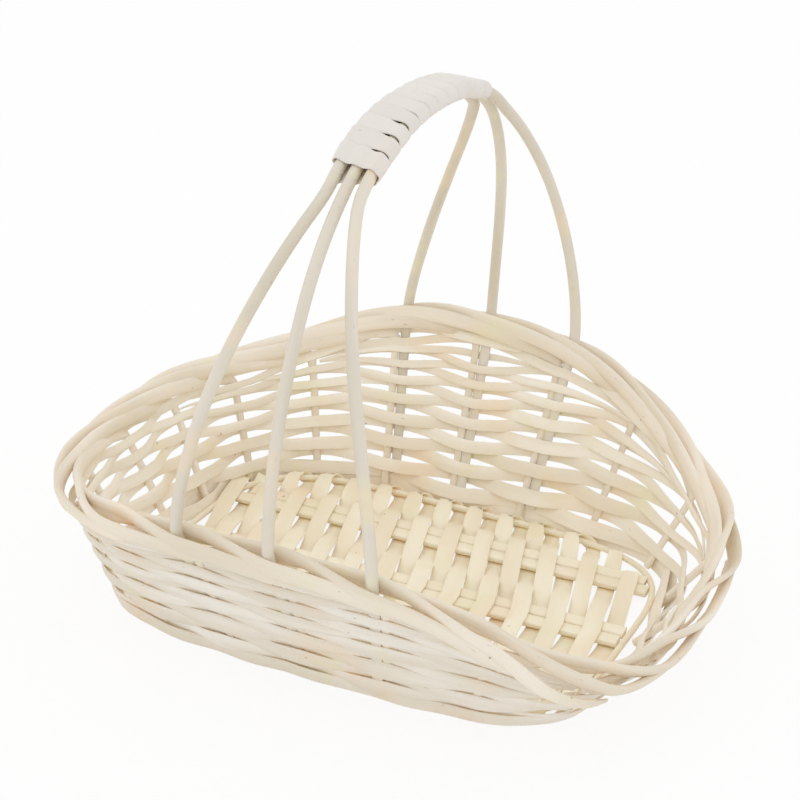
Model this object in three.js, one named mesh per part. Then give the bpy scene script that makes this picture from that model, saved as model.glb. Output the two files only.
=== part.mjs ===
// Wicker basket with a fixed three-rod handle, woven from peeled willow.
// Millimetres, +Z up. X runs along the basket, -Y is the front, the base lies on Z = 0.
import * as THREE from 'three';

// Outline of the border's centre line, seen from above
const RIM_HALF_LENGTH = 180;
const RIM_HALF_WIDTH = 151;
const RIM_ROUNDNESS = 2.8;

// Height of the border's centre line at the two ends and the two long sides, how far the back falls from its
// middle to the right, how far the right end climbs from its middle to the back, and how late the border
// rises towards each long side
const RIM_HEIGHT_LEFT = 70;
const RIM_HEIGHT_RIGHT = 38;
const RIM_HEIGHT_FRONT = 87;
const RIM_HEIGHT_BACK = 108;
const RIM_BACK_FALL = 8;
const RIM_RIGHT_CLIMB = 8;
const RIM_RISE_FRONT = 4.9;
const RIM_RISE_BACK = 7;

// Outline of the wall where it meets the base
const BASE_HALF_LENGTH = 145.5;
const BASE_HALF_WIDTH = 113;
const BASE_ROUNDNESS = 4.15;

// Upright stakes, which bend over at the top into the border
const STAKE_COUNT = 20;
const STAKE_DIAMETER = 4.4;
const STAKE_FOOT_DROP = 2;

// Rope border: each stake lies along the rim for this many stake spaces
const BORDER_STROKE = 4.1;
const BORDER_STRAND_GAP = 1.2;
const BORDER_CLEARANCE = 0.5;

// Places along a stroke, in stake spaces: leaning over, gone inside, and crossing the top
const BORDER_LEAN_FROM = 0.15;
const BORDER_FIRST_RING = 0.2;
const BORDER_INSIDE_AT = 0.75;
const BORDER_TOP_AT = 2.4;
const BORDER_CROSS_HALF = 0.38;

// The stroke's roof shape: its rounding in stake spaces and its peak in lifts
const BORDER_ROUNDING = 0.2;
const BORDER_PEAK = 1.15;

// Loose strokes at the front right corner: their place and spread round the rim, their start and full
// depth along the stroke, and how far out and down they hang
const SLACK_AT = 0.885;
const SLACK_SPREAD = 0.03;
const SLACK_FROM = 2.8;
const SLACK_FULL = 3.5;
const SLACK_REACH = 8;
const SLACK_DROP = 4;

// The bend from stake to stroke, in stake diameters: where it starts below the border, and its lean
const BEND_BELOW = 1.5;
const BEND_LEAN = 0.4;

// Flat willow splits woven in and out of the stakes
const SPLIT_THICKNESS = 1.3;
const SPLIT_ROW_GAP = 0.7;
const LOWER_ROUND_COUNT = 3;
const UPPER_ROUND_COUNT = 2;

// Rows that cross a stake at the two ends and the two long sides, and how much closer the upper ones lie
const ROW_COUNT_LEFT = 11;
const ROW_COUNT_RIGHT = 6;
const ROW_COUNT_FRONT = 13;
const ROW_COUNT_BACK = 17;
const ROW_RISE_POWER = 2.4;
const ROW_CROWDING = 0.3;
const FIRST_ROW_LIFT = 5;
const BORDER_DROP = 12.6;
const ROW_TAIL = 3.2;
const ROW_TAIL_WIDTH = 1.2;
const FOOT_ROUND_WIDTH = 5;
const FOOT_ROUND_LIFT = 1.6;

// Base panel: a hoop, three pairs of half-round laths and a wide split woven across them
const LATH_WIDTH = 10.5;
const LATH_THICKNESS = 4.2;
const LATH_SPACING = 63;
const LATH_PAIR_GAP = 0.6;
const LATH_END_GAP = 1;
const HOOP_DIAMETER = 3.8;
const BASE_SPLIT_WIDTH = 9.7;
const BASE_SPLIT_THICKNESS = 1.3;
const BASE_SPLIT_PITCH = 10.7;
const BASE_TURN_WIDTH = 5;
const BASE_CORNER = 16;

// Handle: three rods over the top, gathered under a wound split
const ROD_DIAMETER = 6.6;
const ROD_GAP = 1.8;
const ROD_FOOT_LIFT = 8;
const HANDLE_SKEW = 15;
const HANDLE_HEIGHT = 296;
const HANDLE_FULLNESS = 2.35;
const HANDLE_GATHER_DROP = 29;
const HANDLE_GATHER_POWER = 1.45;
const WRAP_TURNS = 12;
const WRAP_WIDTH = 12;
const WRAP_PITCH = 13.2;
const WRAP_THICKNESS = 1.2;

// Room left between pieces that touch on the real basket
const CLEARANCE = 0.3;
const TURN_CLEARANCE = 0.5;
const WRAP_CLEARANCE = 0.5;

// Fineness of the faceted surfaces
const ROD_SIDES = 6;
const HOOP_STEPS = 48;
const HANDLE_STEPS = 52;
const ARCH_STEPS = 14;
const STROKE_STEPS = 12;
const TURN_STEPS = 4;
const WRAP_STEPS = 24;
const ARC_SAMPLES = 3000;
const TURN_NUDGE = 1e-4;
const PLACE_NUDGE = 0.5;

// Colours of the peeled willow
const STAKE_COLOUR = 0xded4c6;
const SPLIT_COLOUR = 0xe3d5bd;
const BASE_COLOUR = 0xebdfc4;
const HANDLE_COLOUR = 0xddd2c3;
const WRAP_COLOUR = 0xece8e2;
const WILLOW_ROUGHNESS = 0.6;

const UP = new THREE.Vector3(0, 0, 1);
const BASE_LEVEL = BASE_SPLIT_THICKNESS + CLEARANCE + LATH_THICKNESS / 2;
const PAIR_OFFSET = STAKE_DIAMETER / 2 + CLEARANCE + ROD_DIAMETER / 2;

const basket = new THREE.Group();
basket.name = 'basket';

// A closed oval between an ellipse and a rectangle
class Oval extends THREE.Curve {
  constructor(halfLength, halfWidth, roundness) {
    super();
    this.halfLength = halfLength;
    this.halfWidth = halfWidth;
    this.roundness = roundness;
    this.arcLengthDivisions = ARC_SAMPLES;
  }

  getPoint(turn, target = new THREE.Vector3()) {
    const angle = turn * 2 * Math.PI;
    const bend = (value) => Math.sign(value) * Math.abs(value) ** (2 / this.roundness);
    return target.set(this.halfLength * bend(Math.cos(angle)), this.halfWidth * bend(Math.sin(angle)), 0);
  }

  // Half the oval's width across Y at a place along X
  reach(x) {
    const share = Math.min(Math.abs(x) / this.halfLength, 1);
    return this.halfWidth * (1 - share ** this.roundness) ** (1 / this.roundness);
  }
}

const rimLine = new Oval(RIM_HALF_LENGTH, RIM_HALF_WIDTH, RIM_ROUNDNESS);
const footLine = new Oval(BASE_HALF_LENGTH, BASE_HALF_WIDTH, BASE_ROUNDNESS);

const wholeTurn = (turn) => turn - Math.floor(turn);

function rimHeight(plan) {
  const along = plan.x / RIM_HALF_LENGTH;
  const across = plan.y / RIM_HALF_WIDTH;
  const right = RIM_HEIGHT_RIGHT + RIM_RIGHT_CLIMB * across;
  const ends = THREE.MathUtils.lerp(RIM_HEIGHT_LEFT, right, (along + 1) / 2);
  const facing = (across + 1) / 2;
  const sides = THREE.MathUtils.lerp(RIM_HEIGHT_FRONT, RIM_HEIGHT_BACK - RIM_BACK_FALL * along, facing);
  const rise = THREE.MathUtils.lerp(RIM_RISE_FRONT, RIM_RISE_BACK, facing);
  return THREE.MathUtils.lerp(ends, sides, Math.abs(across) ** rise);
}

// The wall at one place round the basket: its foot, its rim and the directions along, up and out of it
function wallAt(turn) {
  const place = (at) => {
    const foot = footLine.getPointAt(wholeTurn(at)).setZ(BASE_LEVEL);
    const rim = rimLine.getPointAt(wholeTurn(at));
    return { foot, rim: rim.setZ(rimHeight(rim)) };
  };
  const { foot, rim } = place(turn);
  const slope = rim.clone().sub(foot);
  const height = slope.length();
  slope.normalize();
  const along = place(turn + TURN_NUDGE).rim.sub(place(turn - TURN_NUDGE).rim).setZ(0).normalize();
  const out = along.clone().cross(slope).normalize();
  return { foot, slope, along, out, height };
}

// A point of the wall: distance up the slope from the foot, and distance out of the wall
function wallPoint(wall, distance, outward = 0) {
  return wall.foot.clone().addScaledVector(wall.slope, distance).addScaledVector(wall.out, outward);
}

// Turns a row of rings, all with the same number of points, into one closed outward solid
function solidFromRings(rings, closed) {
  const sides = rings[0].length;
  const positions = rings.flat().flatMap((point) => point.toArray());
  const faces = [];
  const spans = closed ? rings.length : rings.length - 1;
  for (let span = 0; span < spans; span += 1) {
    const here = span * sides;
    const next = ((span + 1) % rings.length) * sides;
    for (let side = 0; side < sides; side += 1) {
      const other = (side + 1) % sides;
      faces.push([here + side, here + other, next + other], [here + side, next + other, next + side]);
    }
  }
  if (!closed) {
    const last = (rings.length - 1) * sides;
    for (let side = 1; side < sides - 1; side += 1) {
      faces.push([0, side + 1, side], [last, last + side, last + side + 1]);
    }
  }
  const corner = (index) => new THREE.Vector3().fromArray(positions, index * 3);
  const volume = faces.reduce((sum, [a, b, c]) => sum + corner(a).dot(corner(b).cross(corner(c))), 0);
  const outward = volume > 0 ? faces : faces.map(([a, b, c]) => [a, c, b]);
  const geometry = new THREE.BufferGeometry();
  geometry.setAttribute('position', new THREE.Float32BufferAttribute(positions, 3));
  geometry.setIndex(outward.flat());
  geometry.computeVertexNormals();
  return geometry;
}

// One ring: a flat section placed at a point, spread along a side and a normal direction
function ring(centre, side, normal, section) {
  return section.map(([across, through]) =>
    centre.clone().addScaledVector(side, across).addScaledVector(normal, through));
}

function roundSection(diameter) {
  return Array.from({ length: ROD_SIDES }, (_, index) => {
    const angle = (index / ROD_SIDES) * 2 * Math.PI;
    return [Math.cos(angle) * diameter / 2, Math.sin(angle) * diameter / 2];
  });
}

function flatSection(width, thickness) {
  const across = width / 2;
  const through = thickness / 2;
  return [[-across, -through], [across, -through], [across, through], [-across, through]];
}

// A split with rounded edges, as the handle is bound with
function lensSection(width, thickness) {
  const across = width / 2;
  const edge = across - thickness;
  const through = thickness / 2;
  return [[-across, 0], [-edge, -through], [edge, -through], [across, 0], [edge, through], [-edge, through]];
}

// A round rod along points, its section carried on from ring to ring without twisting
function rodRings(points, diameter, firstSide) {
  const section = roundSection(diameter);
  const side = firstSide.clone();
  return points.map((point, index) => {
    const before = points[Math.max(index - 1, 0)];
    const after = points[Math.min(index + 1, points.length - 1)];
    const along = after.clone().sub(before).normalize();
    side.addScaledVector(along, -side.dot(along)).normalize();
    return ring(point, side.clone(), along.clone().cross(side), section);
  });
}

function addPiece(name, geometry, colour) {
  const look = { color: colour, roughness: WILLOW_ROUGHNESS, metalness: 0 };
  const mesh = new THREE.Mesh(geometry, new THREE.MeshStandardMaterial(look));
  mesh.name = name;
  basket.add(mesh);
}

const numbered = (name, index) => `${name}_${String(index + 1).padStart(2, '0')}`;

// Places of the stakes round the wall. A handle rod stands just before each of six of them.
const rimLength = rimLine.getLength();
const pairShare = PAIR_OFFSET / rimLength;
const skewShare = HANDLE_SKEW / rimLength;

// The stakes stand evenly, but the back ones a little further round, as the handle sits askew
function stakeTurn(index) {
  const even = index / STAKE_COUNT;
  return even + pairShare / 2 + skewShare * (1 + Math.sin(2 * Math.PI * even)) / 2;
}

const backStake = STAKE_COUNT / 4;
const frontStake = 3 * STAKE_COUNT / 4;
const HANDLE_STAKES = [
  { name: 'handle_rod_left', front: frontStake - 1, back: backStake + 1, lean: -1 },
  { name: 'handle_rod_middle', front: frontStake, back: backStake, lean: 0 },
  { name: 'handle_rod_right', front: frontStake + 1, back: backStake - 1, lean: 1 },
];
const besideRod = new Set(HANDLE_STAKES.flatMap(({ front, back }) => [front, back]));

// The line of a handle rod in the wall, beside its stake
function rodWallPoint(stake, distance) {
  const wall = wallAt(stakeTurn(stake));
  return wallPoint(wall, distance).addScaledVector(wall.along, -PAIR_OFFSET);
}

// Stakes: up the wall, over the bend, inside the next stakes, across the top and down outside
const borderReach = ROD_DIAMETER / 2 + STAKE_DIAMETER / 2 + BORDER_CLEARANCE;
const borderLift = STAKE_DIAMETER + BORDER_STRAND_GAP;

function borderOffset(space, turn) {
  const inward = THREE.MathUtils.smoothstep(space, BORDER_LEAN_FROM, BORDER_INSIDE_AT);
  const past = space - BORDER_TOP_AT;
  const across = THREE.MathUtils.smoothstep(past, -BORDER_CROSS_HALF, BORDER_CROSS_HALF);
  const fall = Math.hypot(past, BORDER_ROUNDING);
  const near = Math.exp(-(((wholeTurn(turn) - SLACK_AT) / SLACK_SPREAD) ** 2));
  const slack = near * THREE.MathUtils.smoothstep(space, SLACK_FROM, SLACK_FULL);
  return {
    outward: borderReach * (2 * across - inward) + SLACK_REACH * slack,
    rise: borderLift * (BORDER_PEAK - fall) - SLACK_DROP * slack,
  };
}

function stakePoints(index) {
  const turn = stakeTurn(index);
  const start = wallAt(turn);
  const { rise } = borderOffset(0, turn);
  const bendStart = start.height + rise - STAKE_DIAMETER * BEND_BELOW;
  const bend = wallPoint(start, bendStart + STAKE_DIAMETER);
  bend.addScaledVector(start.along, STAKE_DIAMETER * BEND_LEAN);
  const points = [-STAKE_FOOT_DROP, bendStart / 2, bendStart].map((distance) => wallPoint(start, distance));
  points.push(bend);
  for (let step = 0; step <= STROKE_STEPS; step += 1) {
    const space = THREE.MathUtils.lerp(BORDER_FIRST_RING, BORDER_STROKE, step / STROKE_STEPS);
    const place = turn + space / STAKE_COUNT;
    const wall = wallAt(place);
    const offset = borderOffset(space, place);
    points.push(wallPoint(wall, wall.height + offset.rise, offset.outward));
  }
  return points;
}

for (let index = 0; index < STAKE_COUNT; index += 1) {
  const wall = wallAt(stakeTurn(index));
  const rings = rodRings(stakePoints(index), STAKE_DIAMETER, wall.out);
  addPiece(numbered('stake', index), solidFromRings(rings, false), STAKE_COLOUR);
}

// Posts that a split passes in turn: each stake, and before six of them a handle rod
const posts = [];
for (let index = 0; index < STAKE_COUNT; index += 1) {
  if (besideRod.has(index)) {
    posts.push({ stake: index, beside: -PAIR_OFFSET, radius: ROD_DIAMETER / 2 });
  }
  posts.push({ stake: index, beside: 0, radius: STAKE_DIAMETER / 2 });
}

// The rows that cross a stake share the wall's height there. Where the border stands high there are
// more of them: full rounds below and above, and packing rows between that stop short of the ends.
const rowRoom = (wall) => wall.height - FIRST_ROW_LIFT - BORDER_DROP;
const rowSpread = (share) => share + ROW_CROWDING * Math.sin(Math.PI * share) / Math.PI;
const rowCounts = Array.from({ length: STAKE_COUNT }, (_, stake) => {
  const angle = (stake / STAKE_COUNT) * 2 * Math.PI;
  const ends = THREE.MathUtils.lerp(ROW_COUNT_LEFT, ROW_COUNT_RIGHT, (Math.cos(angle) + 1) / 2);
  const sides = THREE.MathUtils.lerp(ROW_COUNT_FRONT, ROW_COUNT_BACK, (Math.sin(angle) + 1) / 2);
  return Math.floor(THREE.MathUtils.lerp(ends, sides, Math.abs(Math.sin(angle)) ** ROW_RISE_POWER));
});

// A row fills its share of the wall's height, but for the gap to the next one
function rowWidth(stake, order) {
  const count = rowCounts[stake];
  const part = rowSpread((order + 1) / count) - rowSpread(order / count);
  return part * rowRoom(wallAt(stakeTurn(stake))) - SPLIT_ROW_GAP;
}

// The pointed end of a packing row, just past its last post, heading for the seam under the upper rounds
function tailStop(stop, direction) {
  const count = rowCounts[(stop.stake + direction + STAKE_COUNT) % STAKE_COUNT];
  const seam = (count - UPPER_ROUND_COUNT) / count;
  const share = THREE.MathUtils.lerp(stop.share, seam, ROW_TAIL * STAKE_COUNT / rimLength);
  return { ...stop, beside: stop.beside + direction * ROW_TAIL, share, width: ROW_TAIL_WIDTH };
}

// One woven split past a run of posts. Order gives its number among the rows at a stake, from below.
function wovenRings(run, order, phase, closed) {
  const stops = run.map(({ stake, beside, radius, lap = 0 }) => {
    const sign = (stake + phase) % 2 === 0 ? 1 : -1;
    const share = (order(stake) + 0.5) / rowCounts[stake];
    const outward = sign * (radius + CLEARANCE + SPLIT_THICKNESS / 2);
    const width = rowWidth(stake, order(stake));
    return { stake, turn: stakeTurn(stake) + lap, beside, outward, share, width };
  });
  const between = (stop, next) => Object.fromEntries(
    Object.keys(stop).map((key) => [key, (stop[key] + next[key]) / 2]));
  if (closed) {
    stops.push({ ...stops[0], turn: stops[0].turn + 1 });
  } else {
    stops.unshift(tailStop(stops[0], -1));
    stops.push(tailStop(stops.at(-1), 1));
  }
  const places = stops.flatMap((stop, index) => {
    const next = stops[index + 1];
    const crosses = next && Math.sign(next.outward) !== Math.sign(stop.outward);
    return crosses ? [stop, between(stop, next)] : [stop];
  });
  if (closed) {
    places.pop();
  }
  return places.map(({ turn, beside, outward, share, width }) => {
    const wall = wallAt(turn);
    const level = FIRST_ROW_LIFT + rowSpread(share) * rowRoom(wall);
    const centre = wallPoint(wall, level, outward).addScaledVector(wall.along, beside);
    return ring(centre, wall.slope, wall.out, flatSection(width, SPLIT_THICKNESS));
  });
}

for (let round = 0; round < LOWER_ROUND_COUNT; round += 1) {
  const rings = wovenRings(posts, () => round, round, true);
  addPiece(numbered('lower_round', round), solidFromRings(rings, true), SPLIT_COLOUR);
}
for (let round = 0; round < UPPER_ROUND_COUNT; round += 1) {
  const rings = wovenRings(posts, (stake) => rowCounts[stake] - 1 - round, round, true);
  addPiece(numbered('upper_round', round), solidFromRings(rings, true), SPLIT_COLOUR);
}

// The unbroken runs of stakes that a packing row crosses, as posts in their order round the basket
function packingRuns(row) {
  const crosses = rowCounts.map((count) => count - LOWER_ROUND_COUNT - UPPER_ROUND_COUNT > row);
  const start = crosses.indexOf(false);
  const runs = [[]];
  for (let step = 1; step <= STAKE_COUNT; step += 1) {
    const stake = (start + step) % STAKE_COUNT;
    if (crosses[stake]) {
      runs.at(-1).push({ stake, lap: start + step >= STAKE_COUNT ? 1 : 0 });
    } else {
      runs.push([]);
    }
  }
  return runs.filter((stakes) => stakes.length > 1).map((stakes) => stakes.flatMap(({ stake, lap }) =>
    posts.filter((post) => post.stake === stake).map((post) => ({ ...post, lap }))));
}

const packingRows = Math.max(...rowCounts) - LOWER_ROUND_COUNT - UPPER_ROUND_COUNT;
let packed = 0;
for (let row = 0; row < packingRows; row += 1) {
  for (const run of packingRuns(row)) {
    const rings = wovenRings(run, () => LOWER_ROUND_COUNT + row, LOWER_ROUND_COUNT + row, false);
    addPiece(numbered('packing_row', packed), solidFromRings(rings, false), SPLIT_COLOUR);
    packed += 1;
  }
}

// Foot round: a flat split that runs outside every stake beside the base
const footRings = Array.from({ length: 2 * STAKE_COUNT }, (_, step) => {
  const wall = wallAt(stakeTurn(step / 2));
  const centre = wallPoint(wall, FOOT_ROUND_LIFT, STAKE_DIAMETER / 2 + CLEARANCE + SPLIT_THICKNESS / 2);
  return ring(centre, wall.slope, wall.out, flatSection(FOOT_ROUND_WIDTH, SPLIT_THICKNESS));
});
addPiece('foot_round', solidFromRings(footRings, true), SPLIT_COLOUR);

// Base hoop: it lies inside the stakes, with room for the split that turns round it
const turnRadius = HOOP_DIAMETER / 2 + TURN_CLEARANCE + BASE_SPLIT_THICKNESS / 2;
const hoopInset = STAKE_DIAMETER / 2 + CLEARANCE + BASE_SPLIT_THICKNESS / 2 + turnRadius;
const hoopLine = new Oval(BASE_HALF_LENGTH - hoopInset, BASE_HALF_WIDTH - hoopInset, BASE_ROUNDNESS);
const hoopRings = Array.from({ length: HOOP_STEPS }, (_, step) => {
  const turn = step / HOOP_STEPS;
  const out = hoopLine.getTangent(turn).cross(UP);
  return ring(hoopLine.getPoint(turn).setZ(BASE_LEVEL), out, UP, roundSection(HOOP_DIAMETER));
});
addPiece('base_hoop', solidFromRings(hoopRings, true), STAKE_COLOUR);

// Base laths: three pairs of half-round willow along the basket, ending just inside the hoop
const LATH_PLACES = [-LATH_SPACING, 0, LATH_SPACING];

function lathGeometry(y) {
  const inset = HOOP_DIAMETER / 2 + LATH_END_GAP;
  const room = new Oval(hoopLine.halfWidth - inset, hoopLine.halfLength - inset, BASE_ROUNDNESS);
  const length = room.reach(Math.abs(y) + LATH_WIDTH / 2);
  const across = LATH_WIDTH / 2;
  const through = LATH_THICKNESS / 2;
  const section = [[-across, -through], [across, -through], [across, 0], [across / 2, through],
    [-across / 2, through], [-across, 0]];
  const side = new THREE.Vector3(0, 1, 0);
  const rings = [-length, length].map((x) => ring(new THREE.Vector3(x, y, BASE_LEVEL), side, UP, section));
  return solidFromRings(rings, false);
}

LATH_PLACES.forEach((place, pair) => {
  const half = (LATH_WIDTH + LATH_PAIR_GAP) / 2;
  addPiece(numbered('base_lath', pair * 2), lathGeometry(place - half), BASE_COLOUR);
  addPiece(numbered('base_lath', pair * 2 + 1), lathGeometry(place + half), BASE_COLOUR);
});

// Base weave: one wide split, back and forth across the laths, turning round the hoop at each side
const weaveLift = LATH_THICKNESS / 2 + CLEARANCE + BASE_SPLIT_THICKNESS / 2;
const weaveReach = hoopLine.halfLength - HOOP_DIAMETER / 2 - BASE_CORNER;
const weaveSpaces = Math.floor(2 * weaveReach / BASE_SPLIT_PITCH);
const weavePlace = (pass) => (pass - weaveSpaces / 2) * BASE_SPLIT_PITCH;
const weaveSection = flatSection(BASE_SPLIT_WIDTH, BASE_SPLIT_THICKNESS);
const turnSection = flatSection(BASE_TURN_WIDTH, BASE_SPLIT_THICKNESS);
const ALONG = new THREE.Vector3(1, 0, 0);

// The part of one pass between the two sides of the hoop
function passRings(pass) {
  const x = weavePlace(pass);
  const heading = Math.abs(pass) % 2 === 0 ? 1 : -1;
  const normal = UP.clone().multiplyScalar(heading);
  const flat = LATH_WIDTH + LATH_PAIR_GAP / 2;
  const rings = [];
  for (let pair = 0; pair < LATH_PLACES.length; pair += 1) {
    const place = LATH_PLACES[heading > 0 ? pair : LATH_PLACES.length - 1 - pair];
    const over = pair % 2 === 0 ? -heading : heading;
    for (const edge of [-flat, flat]) {
      const centre = new THREE.Vector3(x, place + heading * edge, BASE_LEVEL + over * weaveLift);
      rings.push(ring(centre, ALONG, normal, weaveSection));
    }
  }
  return rings;
}

// A half turn round the hoop from one pass to the next, on the back side (+1) or the front side (-1)
function turnRings(pass, side) {
  return Array.from({ length: TURN_STEPS + 1 }, (_, step) => {
    const share = step / TURN_STEPS;
    const level = step === 0 || step === TURN_STEPS;
    const x = THREE.MathUtils.lerp(weavePlace(pass), weavePlace(pass + 1), share);
    const y = side * hoopLine.reach(level ? Math.abs(x) + BASE_TURN_WIDTH / 2 : x);
    const lean = hoopLine.reach(x + PLACE_NUDGE) - hoopLine.reach(x - PLACE_NUDGE);
    const along = new THREE.Vector3(2 * PLACE_NUDGE, side * lean, 0).normalize();
    const out = new THREE.Vector3(-along.y * side, along.x * side, 0);
    const angle = side * (0.5 - share) * Math.PI;
    const normal = out.multiplyScalar(Math.cos(angle)).addScaledVector(UP, Math.sin(angle));
    const centre = new THREE.Vector3(x, y, BASE_LEVEL).addScaledVector(normal, turnRadius);
    return level ? ring(centre, ALONG, normal, turnSection) : ring(centre, along, normal, turnSection);
  });
}

const weaveRings = [];
for (let pass = 0; pass <= weaveSpaces; pass += 1) {
  weaveRings.push(...passRings(pass));
  if (pass < weaveSpaces) {
    weaveRings.push(...turnRings(pass, pass % 2 === 0 ? 1 : -1));
  }
}
addPiece('base_weave', solidFromRings(weaveRings, false), BASE_COLOUR);
addPiece('base_end_split_left', solidFromRings(passRings(-1), false), BASE_COLOUR);
addPiece('base_end_split_right', solidFromRings(passRings(weaveSpaces + 1), false), BASE_COLOUR);

// Handle rods: out of the wall beside their stakes, over the top and down the other side
const gatherSpace = ROD_DIAMETER + ROD_GAP;
const gatherHeight = HANDLE_HEIGHT - HANDLE_GATHER_DROP;

// Where a rod leaves the border and starts its arch
function springPoint(stake) {
  const { height } = wallAt(stakeTurn(stake));
  return rodWallPoint(stake, height + borderLift * BORDER_PEAK + STAKE_DIAMETER / 2);
}

function archPoint(spring, angle) {
  const y = spring.y * Math.cos(angle) ** (2 / HANDLE_FULLNESS);
  const rise = Math.sin(angle) ** (2 / HANDLE_FULLNESS);
  return new THREE.Vector3(spring.x, y, THREE.MathUtils.lerp(spring.z, HANDLE_HEIGHT, rise));
}

// One side of a rod's arch: up the wall, out of the border and in towards the middle rod
function archSide(stake, middleStake, lean) {
  const { height } = wallAt(stakeTurn(stake));
  const wallPlaces = [ROD_FOOT_LIFT, height / 2, height - BORDER_DROP, height];
  const spring = springPoint(stake);
  const middleSpring = springPoint(middleStake).setX(lean * gatherSpace);
  const points = [...wallPlaces.map((distance) => rodWallPoint(stake, distance)), spring];
  for (let step = 1; step < ARCH_STEPS; step += 1) {
    const angle = (step / ARCH_STEPS) * Math.PI / 2;
    const own = archPoint(spring, angle);
    const share = Math.min((own.z - spring.z) / (gatherHeight - spring.z), 1);
    points.push(own.lerp(archPoint(middleSpring, angle), share ** HANDLE_GATHER_POWER));
  }
  return points;
}

function rodLine({ front, back, lean }) {
  const top = new THREE.Vector3(lean * gatherSpace, 0, HANDLE_HEIGHT);
  const frontSide = archSide(front, frontStake, lean);
  const points = [...frontSide, top, ...archSide(back, backStake, lean).reverse()];
  const line = new THREE.CatmullRomCurve3(points, false, 'centripetal');
  line.arcLengthDivisions = ARC_SAMPLES;
  return line;
}

for (const rod of HANDLE_STAKES) {
  const points = rodLine(rod).getSpacedPoints(HANDLE_STEPS);
  addPiece(rod.name, solidFromRings(rodRings(points, ROD_DIAMETER, ALONG), false), HANDLE_COLOUR);
}

// Handle wrap: one flat split wound round the three rods, its turns side by side
const wrapRadius = ROD_DIAMETER / 2 + WRAP_CLEARANCE + WRAP_THICKNESS / 2;
const wrapFlat = 2 * gatherSpace;
const wrapLap = 2 * wrapFlat + 2 * Math.PI * wrapRadius;

// A place on the oval path round the rods: across and above their middle, with its outward direction
function lapPlace(travel) {
  const bend = Math.PI * wrapRadius;
  const half = travel % (wrapFlat + bend);
  const mirror = Math.floor(travel / (wrapFlat + bend)) % 2 === 0 ? 1 : -1;
  if (half <= wrapFlat) {
    return { across: mirror * (half - gatherSpace), above: -mirror * wrapRadius, outX: 0, outN: -mirror };
  }
  const angle = (half - wrapFlat) / wrapRadius;
  const outX = mirror * Math.sin(angle);
  const outN = -mirror * Math.cos(angle);
  return { across: mirror * gatherSpace + outX * wrapRadius, above: outN * wrapRadius, outX, outN };
}

const middleLine = rodLine(HANDLE_STAKES[1]);
const middleLength = middleLine.getLength();

// Distance along the middle rod at which it stands highest
function topDistance() {
  const samples = middleLine.getSpacedPoints(ARC_SAMPLES);
  const highest = samples.reduce((best, point, index) => (point.z > samples[best].z ? index : best), 0);
  return (highest / ARC_SAMPLES) * middleLength;
}

function wrapRings() {
  const start = topDistance() - WRAP_TURNS * WRAP_PITCH / 2;
  const total = wrapLap * WRAP_TURNS + wrapFlat;
  const section = lensSection(WRAP_WIDTH, WRAP_THICKNESS);
  const steps = WRAP_TURNS * WRAP_STEPS;
  return Array.from({ length: steps + 1 }, (_, step) => {
    const travel = total * step / steps;
    const distance = start + WRAP_PITCH * travel / wrapLap;
    const centre = middleLine.getPointAt(distance / middleLength);
    const along = middleLine.getTangentAt(distance / middleLength).setX(0).normalize();
    const above = ALONG.clone().cross(along);
    const place = lapPlace(travel);
    centre.setX(0).addScaledVector(ALONG, place.across).addScaledVector(above, place.above);
    const normal = ALONG.clone().multiplyScalar(place.outX).addScaledVector(above, place.outN);
    return ring(centre, along, normal, section);
  });
}

// Least distance between the points of turns that lie side by side
function leastGap(rings) {
  let least = Infinity;
  rings.forEach((here, index) => {
    const end = Math.min(index + 2 * WRAP_STEPS, rings.length);
    for (let other = index + WRAP_STEPS / 2; other < end; other += 1) {
      for (const point of here) {
        for (const match of rings[other]) {
          least = Math.min(least, point.distanceTo(match));
        }
      }
    }
  });
  return least;
}

const windings = wrapRings();
console.log(`handle wrap: least gap between turns ${leastGap(windings).toFixed(2)} mm`);
addPiece('handle_wrap', solidFromRings(windings, false), WRAP_COLOUR);

// The origin lies under the middle of the whole basket
const box = new THREE.Box3().setFromObject(basket);
const middle = box.getCenter(new THREE.Vector3());
basket.position.set(-middle.x, -middle.y, -box.min.z);

export default basket;
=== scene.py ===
"""Willow basket with a rope border, a woven base and a bound handle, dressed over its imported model."""

import bisect
import math
from collections import namedtuple

import bmesh
import bpy
from bpy.props import FloatProperty, FloatVectorProperty, IntProperty, PointerProperty
from bpy.types import Operator, Panel, PropertyGroup
from mathutils import Matrix, Vector, noise


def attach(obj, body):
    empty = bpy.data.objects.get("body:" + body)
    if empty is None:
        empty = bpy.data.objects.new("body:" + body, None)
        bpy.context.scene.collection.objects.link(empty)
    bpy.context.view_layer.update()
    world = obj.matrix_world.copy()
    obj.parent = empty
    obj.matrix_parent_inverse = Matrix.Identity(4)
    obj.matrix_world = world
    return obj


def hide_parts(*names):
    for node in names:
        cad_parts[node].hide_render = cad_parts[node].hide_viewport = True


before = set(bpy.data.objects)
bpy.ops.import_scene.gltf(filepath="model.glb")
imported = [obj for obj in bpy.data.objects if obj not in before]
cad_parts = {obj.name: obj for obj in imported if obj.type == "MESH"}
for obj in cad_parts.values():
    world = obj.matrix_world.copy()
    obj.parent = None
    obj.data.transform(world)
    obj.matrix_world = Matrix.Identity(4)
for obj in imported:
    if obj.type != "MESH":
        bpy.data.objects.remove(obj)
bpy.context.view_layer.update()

bl_info = {
    "name": "Willow basket",
    "version": (1, 0, 0),
    "blender": (4, 5, 0),
    "location": "View3D > Sidebar > Basket",
    "description": "Weaves a willow basket over its packed model",
    "category": "Add Mesh",
}

UP = Vector((0.0, 0.0, 1.0))
ALONG = Vector((1.0, 0.0, 0.0))
BODY = "root"


def length(name, description, default):
    return FloatProperty(name=name, description=description, default=default, unit="LENGTH", precision=4)


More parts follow.
